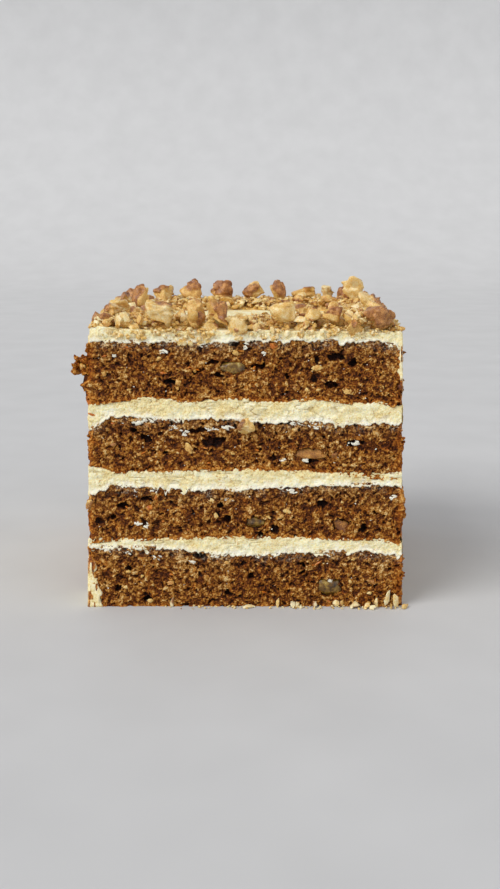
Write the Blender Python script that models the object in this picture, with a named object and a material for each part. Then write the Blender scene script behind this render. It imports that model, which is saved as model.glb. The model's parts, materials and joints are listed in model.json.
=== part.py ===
"""A square carrot cake of four sponge layers, cut open at its front.

Each sponge, each cream filling, the outer coat of cream, the border of chopped walnuts, the larger
walnut pieces and the fruit and nuts that show in the cut are solids of their own. Metres, +Z up.
The cut face looks towards -Y. Everything hangs on one empty, which puts the middle of the cake's
underside at the origin.
"""

import math
import random

import bmesh
import bpy
from mathutils import Euler, Vector, noise
from mathutils.bvhtree import BVHTree

MM = 0.001

# Driving dimensions.
BASE_WIDTH = 150 * MM  # left to right at the foot, coat included
BASE_DEPTH = 144 * MM  # from the cut face to the back, at the foot
CAKE_HEIGHT = 131.2 * MM  # to the top of the cream, without nuts
SIDE_DRAFT = 3.4 * MM  # how far each side leans in by the top
FACE_LEAN = 2.4 * MM  # how far the cut face leans back by the top
CORNER_RADIUS = 9 * MM  # of the two back corners
COAT = 1.8 * MM  # thickness of the scraped cream on the sides
GAP = 0.3 * MM  # clearance between touching pieces
TOP_ROUNDING = 3.2 * MM  # of the coat's upper edges
FACE_RELIEF = 0.8 * MM  # unevenness of the torn crumb on the cut face
COAT_RELIEF = 0.7 * MM  # unevenness of the scraped cream
DRIFT = 1.2 * MM  # how much a seam rises and falls from front to back
SHOULDER = 0.86  # share of the half width where a baked layer starts to drop to its edge

# The seams at the cut, from the bottom up: level, rise towards the right end, height of a wave
# and its angle in radians per half width and at the middle, drop at the left and right ends.
SEAMS = {
    "sponge_4_top": (26.5, -1.6, 1.6, 4.5, -1.5, -1.8, 0.4),
    "sponge_3_foot": (34.1, 0.3, 0.6, 4.0, 1.8, 1.0, 3.0),
    "sponge_3_top": (59.0, -1.8, 2.9, 2.0, -0.8, 5.6, 2.0),
    "sponge_2_foot": (64.9, -3.0, 2.6, 2.0, 1.1, -2.6, 0.0),
    "sponge_2_top": (89.5, -1.9, 0.6, 10.5, -2.5, 5.0, 0.0),
    "sponge_1_foot": (99.8, -0.7, 1.0, 11.5, 2.4, 2.0, 3.5),
    "sponge_1_top": (126.4, -0.2, 0.4, 3.0, 0.0, 0.6, 2.0),
}

# Grid of a layer: columns left to right, rows front to back, rings up its sides.
COLUMNS, ROWS = 22, 5
SPONGE_RINGS, CREAM_RINGS, COAT_RINGS = 2, 1, 7

# The border of chopped nuts: its insets from the cake's edges, height and fineness.
HEAP_OUTER, HEAP_INNER = 3.5 * MM, 30 * MM
HEAP_HEIGHT = 6 * MM
HEAP_FLOOR = 0.8 * MM  # what is left of it below a large walnut piece
HEAP_SEGMENTS, HEAP_SIDES = 64, 9
HEAP_SQUARENESS = 7  # exponent of the rounded square that it follows

COLOURS = {
    "sponge": (0.26, 0.115, 0.035),
    "cream": (0.86, 0.78, 0.52),
    "walnut_flesh": (0.72, 0.47, 0.17),
    "walnut_skin": (0.28, 0.11, 0.04),
    "fruit": (0.20, 0.14, 0.06),
}

# Walnut pieces that stand out: x, y, width, depth, height in millimetres, and skin or flesh.
LYING_NUTS = (
    (-63.5, -62, 7.5, 8, 7, "flesh"),
    (-55, -65, 6.5, 6, 5.5, "flesh"),
    (-39.4, -64, 13, 10, 11.5, "flesh"),
    (-22.5, -64, 9, 9, 9, "flesh"),
    (-12.5, -64, 9, 9, 12, "skin"),
    (17, -64, 12, 9, 10.5, "flesh"),
    (30.5, -63, 9, 9, 9, "flesh"),
    (40, -63, 9.5, 9, 10, "flesh"),
    (-54, -6, 9, 9, 14.5, "skin"),
    (-23.5, -48, 9, 9, 9, "flesh"),
    (-15, -37, 8, 8, 8.5, "flesh"),
    (26, -49, 10, 9, 8, "flesh"),
    (-47, 58, 12, 11, 10.5, "flesh"),
    (-31.5, 60, 13, 10, 15, "skin"),
    (-14, 60, 13, 11, 13.5, "skin"),
    (4, 60, 13, 10, 13, "skin"),
    (18, 61, 9.5, 9, 14, "skin"),
    (33, 60, 15, 11, 9, "flesh"),
    (46.5, 61, 8, 8, 8, "flesh"),
    (56, 59, 9, 9, 9.5, "skin"),
    (59, 45, 13, 11, 15, "flesh"),
    (65, 26, 8, 9, 8, "flesh"),
    (63, -4, 12, 12, 10, "flesh"),
    (64, -28, 9, 10, 8, "skin"),
    (62, -44, 10, 9, 8.5, "flesh"),
    (-64, -40, 9, 11, 8, "flesh"),
    (-62, -22, 11, 10, 9, "flesh"),
    (-64, 16, 9, 12, 8.5, "flesh"),
    (-62, 38, 11, 10, 9.5, "skin"),
)
# Pieces pressed on the front edge, which hang over it: x, top, width, depth, height and look.
HANGING_NUTS = (
    (-3.5, 138, 9.5, 9, 9.5, "flesh"),
    (50.2, 137, 7.5, 7.5, 9, "flesh"),
    (61, 142.8, 15, 15, 14, "skin"),
)
HANG = 3.5 * MM  # how far in front of the cut face they reach
DROP_FROM = 24 * MM  # height over the cream that a piece is let down from
DROP_STEPS = (2 * MM, 0.2 * MM)  # first coarse, then fine

# What shows in the cut: x, height of its middle, width, height, and what it is.
IN_THE_CUT = (
    ("sultana_1", -5.8, 114.6, 15.5, 6.6, "fruit"),
    ("sultana_2", 4.2, 41.4, 12.4, 7.0, "fruit"),
    ("sultana_3", 40.0, 9.8, 16.5, 11.4, "fruit"),
    ("nut_in_crumb_1", 29.8, 74.6, 18.0, 6.2, "walnut_flesh"),
    ("nut_in_crumb_2", 44.6, 40.2, 8.8, 9.4, "walnut_skin"),
)
SUNK = 1.2 * MM  # how far their middles lie behind the cut face
# Stuck on the cake: a round nut on the cut face and a lump of crumb on the left side.
FACE_NUT = Vector((0.4, 88, 2.4)) * MM  # its x, its height and its middle's way out of the face
FACE_NUT_SIZE = Vector((8.4, 6.5, 8.6)) * MM
CRUMB_HEIGHT, CRUMB_OUT, CRUMB_BACK = 115 * MM, 2.6 * MM, 5 * MM
CRUMB_SIZE = Vector((10, 9, 9)) * MM
FLATTEN = 0.05  # what is left of the bulge of a piece where it is pressed flat
POCKET = 1.12  # size of a pocket over the size of what sits in it
SHARP = math.radians(40)  # edges that turn more than this are not smoothed


def material(name, roughness=0.6):
    """A plain Principled material in one of the colours above."""
    made = bpy.data.materials.get(name)
    if made is None:
        made = bpy.data.materials.new(name)
        made.use_nodes = True
        shader = made.node_tree.nodes["Principled BSDF"]
        shader.inputs["Base Color"].default_value = (*COLOURS[name], 1)
        shader.inputs["Roughness"].default_value = roughness
        shader.inputs["Metallic"].default_value = 0
    return made


def finish_object(bm, name, slot, collection):
    """Turns a bmesh into a named object with a material."""
    bmesh.ops.recalc_face_normals(bm, faces=bm.faces)
    mesh = bpy.data.meshes.new(name)
    bm.to_mesh(mesh)
    bm.free()
    mesh.shade_smooth()
    mesh.set_sharp_from_angle(angle=SHARP)
    mesh.materials.append(material(slot))
    made = bpy.data.objects.new(name, mesh)
    collection.objects.link(made)
    return made


def knots(parts, low_corner, high_corner):
    """Places from -1 to 1: even, but with two more steps over each rounded corner."""
    corner = CORNER_RADIUS / (BASE_WIDTH / 2)
    bend = [corner, corner * 2 * (1 - math.sqrt(0.5))]
    start = [-1.0, -1 + bend[1]] if low_corner else []
    end = [1 - bend[1], 1.0] if high_corner else []
    low = -1 + corner if low_corner else -1.0
    high = 1 - corner if high_corner else 1.0
    steps = parts - len(start) - len(end)
    return start + [low + (high - low) * k / steps for k in range(steps + 1)] + end


def segmented_box(columns, rows, rings):
    """A box from -1 to 1 whose faces are grids, finer at its two back corners.

    Every square of the top and the bottom is split along the same diagonal, so that two layers
    that meet in one uneven seam bend alike.
    """
    bm = bmesh.new()
    bmesh.ops.create_cube(bm, size=2)
    for axis, parts in enumerate((columns, rows, rings)):
        along = [e for e in bm.edges if abs((e.verts[0].co - e.verts[1].co)[axis]) > 1e-6]
        bmesh.ops.subdivide_edges(bm, edges=along, cuts=parts - 1, use_grid_fill=True)
    bm.normal_update()
    for face in [f for f in bm.faces if abs(f.normal.z) > 0.5]:
        by_diagonal = sorted(face.verts, key=lambda vert: vert.co.x + vert.co.y)
        bmesh.utils.face_split(face, by_diagonal[0], by_diagonal[-1])
    across, back = knots(columns, True, True), knots(rows, False, True)
    for vert in bm.verts:
        vert.co.x = across[round((vert.co.x + 1) / 2 * columns)]
        vert.co.y = back[round((vert.co.y + 1) / 2 * rows)]
    return bm


def footprint(u, v, z, inset, front_reach=0.0):
    """The point at height z that lies u of the way right and v of the way back, each from -1 to 1.

    The sides and the back lean in and the cut face leans back with height. Inset moves the sides
    and the back inwards, and front_reach moves the front forwards.
    """
    rise = z / CAKE_HEIGHT
    half = BASE_WIDTH / 2 - SIDE_DRAFT * rise - inset
    front = -BASE_DEPTH / 2 + FACE_LEAN * rise - front_reach
    back = BASE_DEPTH / 2 - SIDE_DRAFT * rise - inset
    x = u * half
    y = front + (v + 1) / 2 * (back - front)
    radius = CORNER_RADIUS - inset
    past_x = abs(x) - (half - radius)
    past_y = y - (back - radius)
    if past_x > 0 and past_y > 0:
        shrink = max(past_x, past_y) / math.hypot(past_x, past_y)
        x = math.copysign(half - radius + past_x * shrink, x)
        y = back - radius + past_y * shrink
    return x, y


def smoothstep(t):
    t = min(1.0, max(0.0, t))
    return t * t * (3 - 2 * t)


def seam_height(name, u, v):
    """Height of a seam: level, tilt and one wave at the cut, a drift towards the back, and a drop
    towards the baked edges."""
    level, tilt, wave, rate, start, left, right = SEAMS[name]
    height = (level + tilt * u + wave * math.sin(rate * u + start)) * MM
    height += DRIFT * math.sin(3 * (v + 1)) * math.cos(level + 2 * u)
    side = (left if u < 0 else right) * smoothstep((abs(u) - SHOULDER) / (1 - SHOULDER))
    back = (left + right) / 2 * smoothstep((v - SHOULDER) / (1 - SHOULDER))
    return height - max(side, back, key=abs) * MM


def layer(name, slot, foot, top, rings, collection):
    """A sponge or a filling between two seams, or from the board where foot is None."""
    bm = segmented_box(COLUMNS, ROWS, rings)
    shift = Vector((len(name), sum(map(ord, name)) % 97, 0.5))
    for vert in bm.verts:
        u, v, w = vert.co.x, vert.co.y, (vert.co.z + 1) / 2
        low = seam_height(foot, u, v) + GAP / 2 if foot else 0.0
        high = seam_height(top, u, v) - GAP / 2
        z = low + w * (high - low)
        x, y = footprint(u, v, z, COAT + GAP)
        if v < -0.999:
            y += FACE_RELIEF * noise.noise(Vector((x, z, 0)) * 90 + shift)
        vert.co = x, y, z
    return finish_object(bm, name, slot, collection)


def coat(collection, cutters):
    """The cream on the sides and the top: a block with the room for the layers cut out of it."""
    bm = segmented_box(COLUMNS, ROWS, COAT_RINGS)
    for vert in bm.verts:
        u, v, w = vert.co.x, vert.co.y, (vert.co.z + 1) / 2
        ring = round(w * COAT_RINGS)
        # The last two rings make the rounded upper edge, the others share out the height.
        below = COAT_RINGS - 2
        inset = COAT_RELIEF * noise.noise(Vector((3 * u, 3 * v, 4 * w)))
        if ring > below:
            turn = (ring - below) / 2 * math.pi / 2
            z = CAKE_HEIGHT - TOP_ROUNDING * (1 - math.sin(turn))
            inset += TOP_ROUNDING * (1 - math.cos(turn)) * 0.9
        else:
            z = (CAKE_HEIGHT - TOP_ROUNDING) * ring / below
        if w == 1:
            z += COAT_RELIEF * noise.noise(Vector((3 * u, 3 * v, 9)))
        vert.co = *footprint(u, v, z, inset), z
    made = finish_object(bm, "frosting", "cream", collection)

    bm = segmented_box(COLUMNS, ROWS, 1)
    reach = 8 * MM
    for vert in bm.verts:
        u, v = vert.co.x, vert.co.y
        z = seam_height("sponge_1_top", u, v) + GAP / 2 if vert.co.z > 0 else -reach
        front = reach if v < -0.999 else 0.0
        x, y = footprint(u, v, z, COAT)
        vert.co = x, y - front, z
    room = finish_object(bm, "room_for_layers", "cream", cutters)
    cut(made, room)
    return made


def cut(target, cutter):
    """Takes the cutter's shape out of the target with a live Boolean."""
    cutter.hide_render = True
    cutter.display_type = "WIRE"
    modifier = target.modifiers.new("cut_" + cutter.name, "BOOLEAN")
    modifier.operation = "DIFFERENCE"
    modifier.solver = "EXACT"
    modifier.object = cutter


def face_y(z):
    return -BASE_DEPTH / 2 + FACE_LEAN * z / CAKE_HEIGHT


def rough_ball(seed, lumps):
    """A ball of radius a half with a lumpy surface."""
    bm = bmesh.new()
    bmesh.ops.create_icosphere(bm, subdivisions=2, radius=0.5)
    shift = Vector((seed * 3.7, seed * 1.3, seed * 2.9))
    for vert in bm.verts:
        vert.co *= 1 + lumps * noise.noise(vert.co * 3.2 + shift)
    return bm


def fit_to(bm, size):
    """Centres the mesh and scales it to the given width, depth and height."""
    low = Vector(min(v.co[i] for v in bm.verts) for i in range(3))
    high = Vector(max(v.co[i] for v in bm.verts) for i in range(3))
    middle = (low + high) / 2
    for vert in bm.verts:
        place = vert.co - middle
        vert.co = [place[i] * size[i] / (high[i] - low[i]) for i in range(3)]


def broken_nut(name, size, seed, slot, collection):
    """A chopped walnut piece: a lumpy ball, broken flat on a few sides and turned at random."""
    chance = random.Random(seed)
    bm = rough_ball(seed, 0.55)
    for _ in range(4):
        normal = Vector(chance.gauss(0, 1) for _ in range(3)).normalized()
        reach = chance.uniform(0.2, 0.34)
        for vert in bm.verts:
            over = vert.co.dot(normal) - reach
            if over > 0:
                vert.co -= normal * over * 0.95
    turn = Euler([chance.uniform(0, math.tau) for _ in range(3)]).to_matrix()
    bmesh.ops.rotate(bm, matrix=turn, verts=bm.verts)
    fit_to(bm, size)
    return finish_object(bm, name, slot, collection)


def tree_of(made):
    """A search tree of an object's evaluated mesh, in the cake's own coordinates."""
    graph = bpy.context.evaluated_depsgraph_get()
    mesh = made.evaluated_get(graph).to_mesh()
    mesh.calc_loop_triangles()
    points = [made.matrix_world @ v.co for v in mesh.vertices]
    return BVHTree.FromPolygons(points, [tuple(t.vertices) for t in mesh.loop_triangles])


def drop(piece, x, y, under):
    """Lowers the piece at x, y until it would touch what lies under it."""
    points = [v.co.copy() for v in piece.data.vertices]
    faces = [tuple(p.vertices) for p in piece.data.polygons]
    z = CAKE_HEIGHT + DROP_FROM
    for step in DROP_STEPS:
        free = True
        while free:
            z -= step
            here = [p + Vector((x, y, z)) for p in points]
            tree = BVHTree.FromPolygons(here, faces)
            free = not any(tree.overlap(other) for other in under)
        z += step
    piece.location = x, y, z + GAP
    bpy.context.view_layer.update()


def room_for_nuts(x, y):
    """From 0 under a large walnut piece to 1 beside it."""
    room = 1.0
    for nut_x, nut_y, width, depth, *_ in LYING_NUTS:
        reach = (width + depth) / 4 * MM
        distance = math.hypot(x - nut_x * MM, y - nut_y * MM)
        room = min(room, smoothstep((distance - 0.6 * reach) / (0.9 * reach)))
    return room


def nut_border(collection):
    """The heap of chopped nuts: a torus led along a rounded square, flat where it lies.

    Its cross-section has one corner below and the others on the heap's uneven surface.
    """
    minor = 0.25
    bpy.ops.mesh.primitive_torus_add(
        major_segments=HEAP_SEGMENTS, minor_segments=HEAP_SIDES, major_radius=1, minor_radius=minor
    )
    made = bpy.context.object
    made.name = made.data.name = "nut_border"
    for owner in list(made.users_collection):
        owner.objects.unlink(made)
    collection.objects.link(made)
    made.data.materials.append(material("walnut_flesh"))
    half_x = footprint(1, 0, CAKE_HEIGHT, 0)[0]
    back, front = footprint(0, 1, CAKE_HEIGHT, 0)[1], footprint(0, -1, CAKE_HEIGHT, 0)[1]
    half_y, middle_y = (back - front) / 2, (back + front) / 2
    top_steps = HEAP_SIDES - 2
    chance = random.Random(5)
    for vert in made.data.vertices:
        radius = math.hypot(vert.co.x, vert.co.y)
        cosine, sine = vert.co.x / radius, vert.co.y / radius
        turn = math.atan2(vert.co.z, radius - 1) % math.tau
        step = round(turn / math.tau * HEAP_SIDES) % HEAP_SIDES
        inward = min(step / top_steps, 1.0) if step <= top_steps else 0.5
        uneven = noise.noise(Vector((2 * cosine, 2 * sine, 0.3)))
        outer = HEAP_OUTER * (1 + 0.5 * noise.noise(Vector((5 * cosine, 5 * sine, 4))))
        inset = outer + (HEAP_INNER * (1 + 0.35 * uneven) - outer) * inward
        power = HEAP_SQUARENESS
        square = (abs(cosine) ** power + abs(sine) ** power) ** (-1 / power)
        x = cosine * square * (half_x - inset)
        y = middle_y + sine * square * (half_y - inset)
        height = 0.0
        if 0 < step < top_steps:
            height = HEAP_HEIGHT * math.sin(math.pi * inward) ** 0.5 * chance.uniform(0.7, 1.15)
            height = max(HEAP_FLOOR, height * room_for_nuts(x, y))
        vert.co = x, y, CAKE_HEIGHT + COAT_RELIEF / 2 + GAP + height
    return made


def walnut_pieces(collection, cutters, frosting, border):
    """The large walnut pieces: three hang over the front edge, the others are dropped in place."""
    under = []
    block = segmented_box(COLUMNS, ROWS, 1)
    for vert in block.verts:
        z = CAKE_HEIGHT + COAT_RELIEF / 2 + GAP if vert.co.z > 0 else CAKE_HEIGHT - 20 * MM
        vert.co = *footprint(vert.co.x, vert.co.y, z, -0.5 * MM, 0.5 * MM), z
    room = finish_object(block, "room_for_frosting", "cream", cutters)
    for number, (x, top, width, depth, height, look) in enumerate(HANGING_NUTS, 1):
        size = Vector((width, depth, height)) * MM
        slot = "walnut_" + look
        piece = broken_nut(f"walnut_{number:02d}", size, 90 + number, slot, collection)
        reach = face_y(top * MM) - HANG + size.y / 2
        centre = Vector((x * MM, reach, top * MM - size.z / 2))
        pocket = bmesh.new()
        pocket.from_mesh(piece.data)
        for vert in pocket.verts:
            vert.co = centre + vert.co * POCKET
        cut(border, finish_object(pocket, "pocket_" + piece.name, slot, cutters))
        for vert in piece.data.vertices:
            vert.co += centre
        cut(piece, room)
        under.append(tree_of(piece))
    under += [tree_of(frosting), tree_of(border)]
    for number, (x, y, width, depth, height, look) in enumerate(LYING_NUTS, 1 + len(HANGING_NUTS)):
        size = Vector((width, depth, height)) * MM
        piece = broken_nut(f"walnut_{number:02d}", size, number, "walnut_" + look, collection)
        drop(piece, x * MM, y * MM, under)
        under.append(tree_of(piece))


def set_in_the_cut(collection, cutters, sponges):
    """Fruit and nuts sliced by the knife, each in a pocket of the sponge that holds it."""
    for number, (name, x, middle, width, height, slot) in enumerate(IN_THE_CUT):
        centre = Vector((x * MM, face_y(middle * MM) + SUNK, middle * MM))
        size = Vector((width, 0.7 * width, height)) * MM
        bm = rough_ball(number + 40, 0.25)
        fit_to(bm, size)
        pocket = bm.copy()
        for vert in bm.verts:
            vert.co += centre
            limit = face_y(vert.co.z) - GAP
            if vert.co.y < limit:
                vert.co.y = limit + FLATTEN * (vert.co.y - limit)
        finish_object(bm, name, slot, collection)
        for vert in pocket.verts:
            vert.co = centre + vert.co * POCKET
        cutter = finish_object(pocket, "pocket_" + name, slot, cutters)
        holder = next(s for s, (low, high) in sponges.items() if low < middle * MM < high)
        cut(holder, cutter)


def stuck_on(collection):
    """A round nut pressed on the cut face, and a lump of crumb that hangs on the left edge."""
    bm = rough_ball(71, 0.2)
    fit_to(bm, FACE_NUT_SIZE)
    x, height, out = FACE_NUT
    centre = Vector((x, face_y(height) - FACE_RELIEF - out, height))
    for vert in bm.verts:
        vert.co += centre
        limit = face_y(vert.co.z) - FACE_RELIEF
        if vert.co.y > limit:
            vert.co.y = limit + FLATTEN * (vert.co.y - limit)
    finish_object(bm, "nut_on_face", "walnut_flesh", collection)

    bm = rough_ball(83, 0.6)
    fit_to(bm, CRUMB_SIZE)
    edge = footprint(-1, -1, CRUMB_HEIGHT, 0)[0]
    centre = Vector((edge - CRUMB_OUT, face_y(CRUMB_HEIGHT) + CRUMB_BACK, CRUMB_HEIGHT))
    for vert in bm.verts:
        vert.co += centre
        limit = footprint(-1, -1, vert.co.z, 0)[0] - COAT_RELIEF / 2 - GAP
        if vert.co.x > limit:
            vert.co.x = limit + FLATTEN * (vert.co.x - limit)
    finish_object(bm, "side_crumb", "sponge", collection)


def centre_on_origin(parts):
    """Hangs the parts on an empty that brings the middle of their box over the origin."""
    graph = bpy.context.evaluated_depsgraph_get()
    corners = [
        part.matrix_world @ Vector(corner)
        for part in parts
        for corner in part.evaluated_get(graph).bound_box
    ]
    low = [min(c[i] for c in corners) for i in range(2)]
    high = [max(c[i] for c in corners) for i in range(2)]
    origin = bpy.data.objects.new("cake_origin", None)
    bpy.context.scene.collection.objects.link(origin)
    for part in bpy.data.objects:
        if part is not origin:
            part.parent = origin
    origin.location = -(low[0] + high[0]) / 2, -(low[1] + high[1]) / 2, 0
    bpy.context.view_layer.update()


def build():
    for old in list(bpy.data.objects):
        bpy.data.objects.remove(old)
    cake = bpy.data.collections.new("carrot_cake")
    cutters = bpy.data.collections.new("cutters")
    for collection in (cake, cutters):
        bpy.context.scene.collection.children.link(collection)

    sponges = {}
    feet = [None, "sponge_3_foot", "sponge_2_foot", "sponge_1_foot"]
    tops = ["sponge_4_top", "sponge_3_top", "sponge_2_top", "sponge_1_top"]
    for number, foot, top in zip((4, 3, 2, 1), feet, tops):
        made = layer(f"sponge_{number}", "sponge", foot, top, SPONGE_RINGS, cake)
        low = SEAMS[foot][0] * MM if foot else 0.0
        sponges[made] = (low, SEAMS[top][0] * MM)
    for number, foot, top in zip((3, 2, 1), tops, feet[1:]):
        layer(f"filling_{number}", "cream", foot, top, CREAM_RINGS, cake)
    frosting = coat(cake, cutters)
    set_in_the_cut(cake, cutters, sponges)
    stuck_on(cake)
    border = nut_border(cake)
    bpy.context.view_layer.update()
    walnut_pieces(cake, cutters, frosting, border)
    centre_on_origin(list(cake.objects))


build()
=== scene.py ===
# %% [markdown]
# # A square carrot cake, cut open
#
# Four brown sponges lie between bands of cream cheese frosting. The sides were scraped almost bare,
# chopped walnuts lie round the edge of the top, and one knife cut along the front shows the layers.
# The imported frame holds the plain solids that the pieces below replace, so it is loaded first.

# %% Load the frame
import itertools
import json
import math

import bpy
import mathutils
import numpy as np
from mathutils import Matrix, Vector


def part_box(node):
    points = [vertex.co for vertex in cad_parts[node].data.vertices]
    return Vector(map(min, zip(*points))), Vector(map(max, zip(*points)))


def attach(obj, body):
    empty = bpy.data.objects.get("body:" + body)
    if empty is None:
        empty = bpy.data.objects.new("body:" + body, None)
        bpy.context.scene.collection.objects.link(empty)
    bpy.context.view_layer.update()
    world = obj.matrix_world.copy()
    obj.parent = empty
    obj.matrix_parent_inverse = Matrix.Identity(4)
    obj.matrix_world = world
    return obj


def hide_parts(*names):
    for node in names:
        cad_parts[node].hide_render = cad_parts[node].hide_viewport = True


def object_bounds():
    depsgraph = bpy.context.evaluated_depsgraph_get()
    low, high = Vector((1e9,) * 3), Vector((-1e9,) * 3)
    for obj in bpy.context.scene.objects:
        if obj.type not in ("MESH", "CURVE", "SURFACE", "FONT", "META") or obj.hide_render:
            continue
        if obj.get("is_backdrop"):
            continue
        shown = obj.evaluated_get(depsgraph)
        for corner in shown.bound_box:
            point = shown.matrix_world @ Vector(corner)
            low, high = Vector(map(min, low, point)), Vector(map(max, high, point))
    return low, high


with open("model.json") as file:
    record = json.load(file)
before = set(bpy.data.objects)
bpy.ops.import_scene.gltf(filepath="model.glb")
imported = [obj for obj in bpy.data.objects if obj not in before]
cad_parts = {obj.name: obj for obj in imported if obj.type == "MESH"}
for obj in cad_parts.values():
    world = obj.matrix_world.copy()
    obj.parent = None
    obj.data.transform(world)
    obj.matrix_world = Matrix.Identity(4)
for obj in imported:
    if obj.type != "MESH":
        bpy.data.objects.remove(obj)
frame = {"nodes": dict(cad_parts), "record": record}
cad_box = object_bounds()
MM = 0.001
print("nodes in the frame:", len(frame["nodes"]))

# %% [markdown]
# All shapes below are worked out in millimetres, because a crumb of cake is about one millimetre
# wide. The frosting's box says where the outline lies. The sides lean in and the cut face leans
# back as they rise, as in the solids.

# %% Sizes from the frame


def box_of(node):
    """A node's lowest and highest corners in millimetres."""
    return [np.array(corner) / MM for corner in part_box(node)]


low, high = box_of("frosting")
MIDDLE = (low[0] + high[0]) / 2
WIDTH, DEPTH = 150.0, 144.0
BACK = high[1] - 0.2
FRONT = BACK - DEPTH
TOP = 131.2  # height of the cream, without nuts
SIDE_DRAFT, FACE_LEAN = 3.4, 2.4  # how far the sides and the cut face lean by the top
CORNER = 9.0  # radius of the two back corners
COAT = 1.8  # thickness of the scraped cream


def half_width(z):
    """Half the cake's width at height z."""
    return WIDTH / 2 - SIDE_DRAFT * z / TOP


def front_at(z):
    """How far forward the cut face lies at height z."""
    return FRONT + FACE_LEAN * z / TOP


def back_at(z):
    """How far back the cake reaches at height z."""
    return BACK - SIDE_DRAFT * z / TOP


print("cake", WIDTH, "x", DEPTH, "x", TOP, "mm, middle at x =", round(MIDDLE, 1))

# %% [markdown]
# Each seam between sponge and cream is uneven, and it has to lie where the solids have it. The
# corner points of a node's front edge give its height across the cake, and np.interp fills in
# between them.

# %% Seam heights at the cut
COLUMNS = 50  # columns of a solid's points on each side of the middle


def seam(node, upper):
    """Returns a function that gives the height of a node's upper or lower front edge at any x."""
    mesh = frame["nodes"][node].data
    points = np.empty(len(mesh.vertices) * 3)
    mesh.vertices.foreach_get("co", points)
    points = points.reshape(-1, 3) / MM
    near = points[points[:, 1] < front_at(points[:, 2]) + 1.5]
    share = np.round((near[:, 0] - MIDDLE) / half_width(near[:, 2]) * COLUMNS)
    columns = np.unique(share)
    spans = np.array([np.ptp(near[share == c, 2]) for c in columns])
    columns = columns[spans > 0.75 * np.median(spans)]  # the others only edge a pocket for fruit
    pick = np.max if upper else np.min
    heights = np.array([pick(near[share == c, 2]) for c in columns])

    def height(x):
        share = (x - MIDDLE) / half_width(heights.mean())
        return np.interp(share * COLUMNS, columns, heights)

    return height


LAYERS = ["sponge_4", "filling_3", "sponge_3", "filling_2", "sponge_2", "filling_1", "sponge_1"]
foot_of = {name: seam(name, False) for name in LAYERS}
top_of = {name: seam(name, True) for name in LAYERS}
for name in LAYERS:
    print(name, "from", foot_of[name](MIDDLE).round(1), "to", top_of[name](MIDDLE).round(1), "mm")

# %% [markdown]
# Crumb, cream and nuts all need irregular numbers that come out the same on every run. A lattice
# of hashed cells gives them without any stored state, and blending between the cells gives a
# smooth noise for whole arrays of points at once.

# %% Repeatable noise for arrays


def hashed(seed, *cells):
    """A repeatable number from 0 to 1 for each lattice cell."""
    total = np.full(np.shape(cells[0]), seed * 144665 + 1013, np.int64)
    for cell, factor in zip(cells, (374761393, 668265263, 1440662683)):
        total = (total + np.asarray(cell, np.int64) * factor) & 0xFFFFFFFF
        total = ((total ^ (total >> 13)) * 1274126177) & 0xFFFFFFFF
    total ^= total >> 16
    return total / 0xFFFFFFFF


def noise(size, seed, *coords):
    """Smooth noise from -1 to 1 with features of the given size, which may differ by direction."""
    sizes = size if isinstance(size, tuple) else (size,) * len(coords)
    scaled = [c / s for c, s in zip(coords, sizes)]
    cells = [np.floor(c).astype(np.int64) for c in scaled]
    parts = [c - f for c, f in zip(scaled, cells)]
    parts = [t * t * (3 - 2 * t) for t in parts]
    total = 0.0
    for corner in itertools.product((0, 1), repeat=len(coords)):
        weight = 1.0
        for step, t in zip(corner, parts):
            weight = weight * (t if step else 1 - t)
        total = total + weight * hashed(seed, *[f + step for f, step in zip(cells, corner)])
    return total * 2 - 1


def rise(value, start, end):
    """0 before start, 1 after end, and a soft step between them."""
    t = np.clip((value - start) / (end - start), 0, 1)
    return t * t * (3 - 2 * t)


def bubbles(x, z, cell, small, large, share, seed):
    """How deep a cut through air bubbles goes at x, z.

    Each square cell may hold one round bubble, and the depth is the square root of its radius
    squared less the squared distance to its middle.
    """
    i, j = np.floor(x / cell).astype(np.int64), np.floor(z / cell).astype(np.int64)
    deepest = np.zeros(np.shape(x))
    for across, up in itertools.product((-1, 0, 1), repeat=2):
        a, b = i + across, j + up
        centre_x, centre_z = (a + hashed(seed, a, b)) * cell, (b + hashed(seed + 1, a, b)) * cell
        radius = small + (large - small) * hashed(seed + 2, a, b) ** 2
        radius = radius * (hashed(seed + 3, a, b) < share)
        inside = radius**2 - (x - centre_x) ** 2 - (z - centre_z) ** 2
        deepest = np.maximum(deepest, np.sqrt(np.clip(inside, 0, None)))
    return deepest


print("noise runs from", noise(1.0, 1, np.linspace(0, 50, 500)).min().round(2), "upwards")

# %% [markdown]
# Almost every large piece here is a closed tube: a loop of points that is carried along a line and
# capped at both ends. One helper turns such a grid of points into a mesh, flips its faces if
# they came out facing inwards, and stores masks such as height or crust as attributes, which the
# materials read.

# %% Mesh helpers


def paint(made, **masks):
    """Stores masks on a mesh: one value for each point, or one value for all of them."""
    count = len(made.data.vertices)
    for key, values in masks.items():
        values = np.broadcast_to(np.ravel(values), count).astype(np.float32)
        made.data.attributes.new(key, "FLOAT", "POINT").data.foreach_set("value", values)


def add_mesh(name, points, faces, **masks):
    """Makes a smooth mesh object from points in millimetres, with its masks stored."""
    mesh = bpy.data.meshes.new(name)
    mesh.from_pydata(np.asarray(points) * MM, [], faces, shade_flat=False)
    made = bpy.data.objects.new(name, mesh)
    bpy.context.scene.collection.objects.link(made)
    paint(made, **masks)
    return made


def enclosed_volume(points, quads):
    """Signed volume inside quads, as the sum of the pyramids from the origin."""
    a, b, c, d = (points[quads[:, k]] for k in range(4))
    return (np.cross(b - a, c - a) * a).sum() / 6 + (np.cross(c - a, d - a) * a).sum() / 6


def pad(values, length, rest=0.0):
    """Widens a mask of the first points of each loop to the whole loop."""
    return np.concatenate([values, np.full((len(values), length - values.shape[1]), rest)], axis=1)


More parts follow.
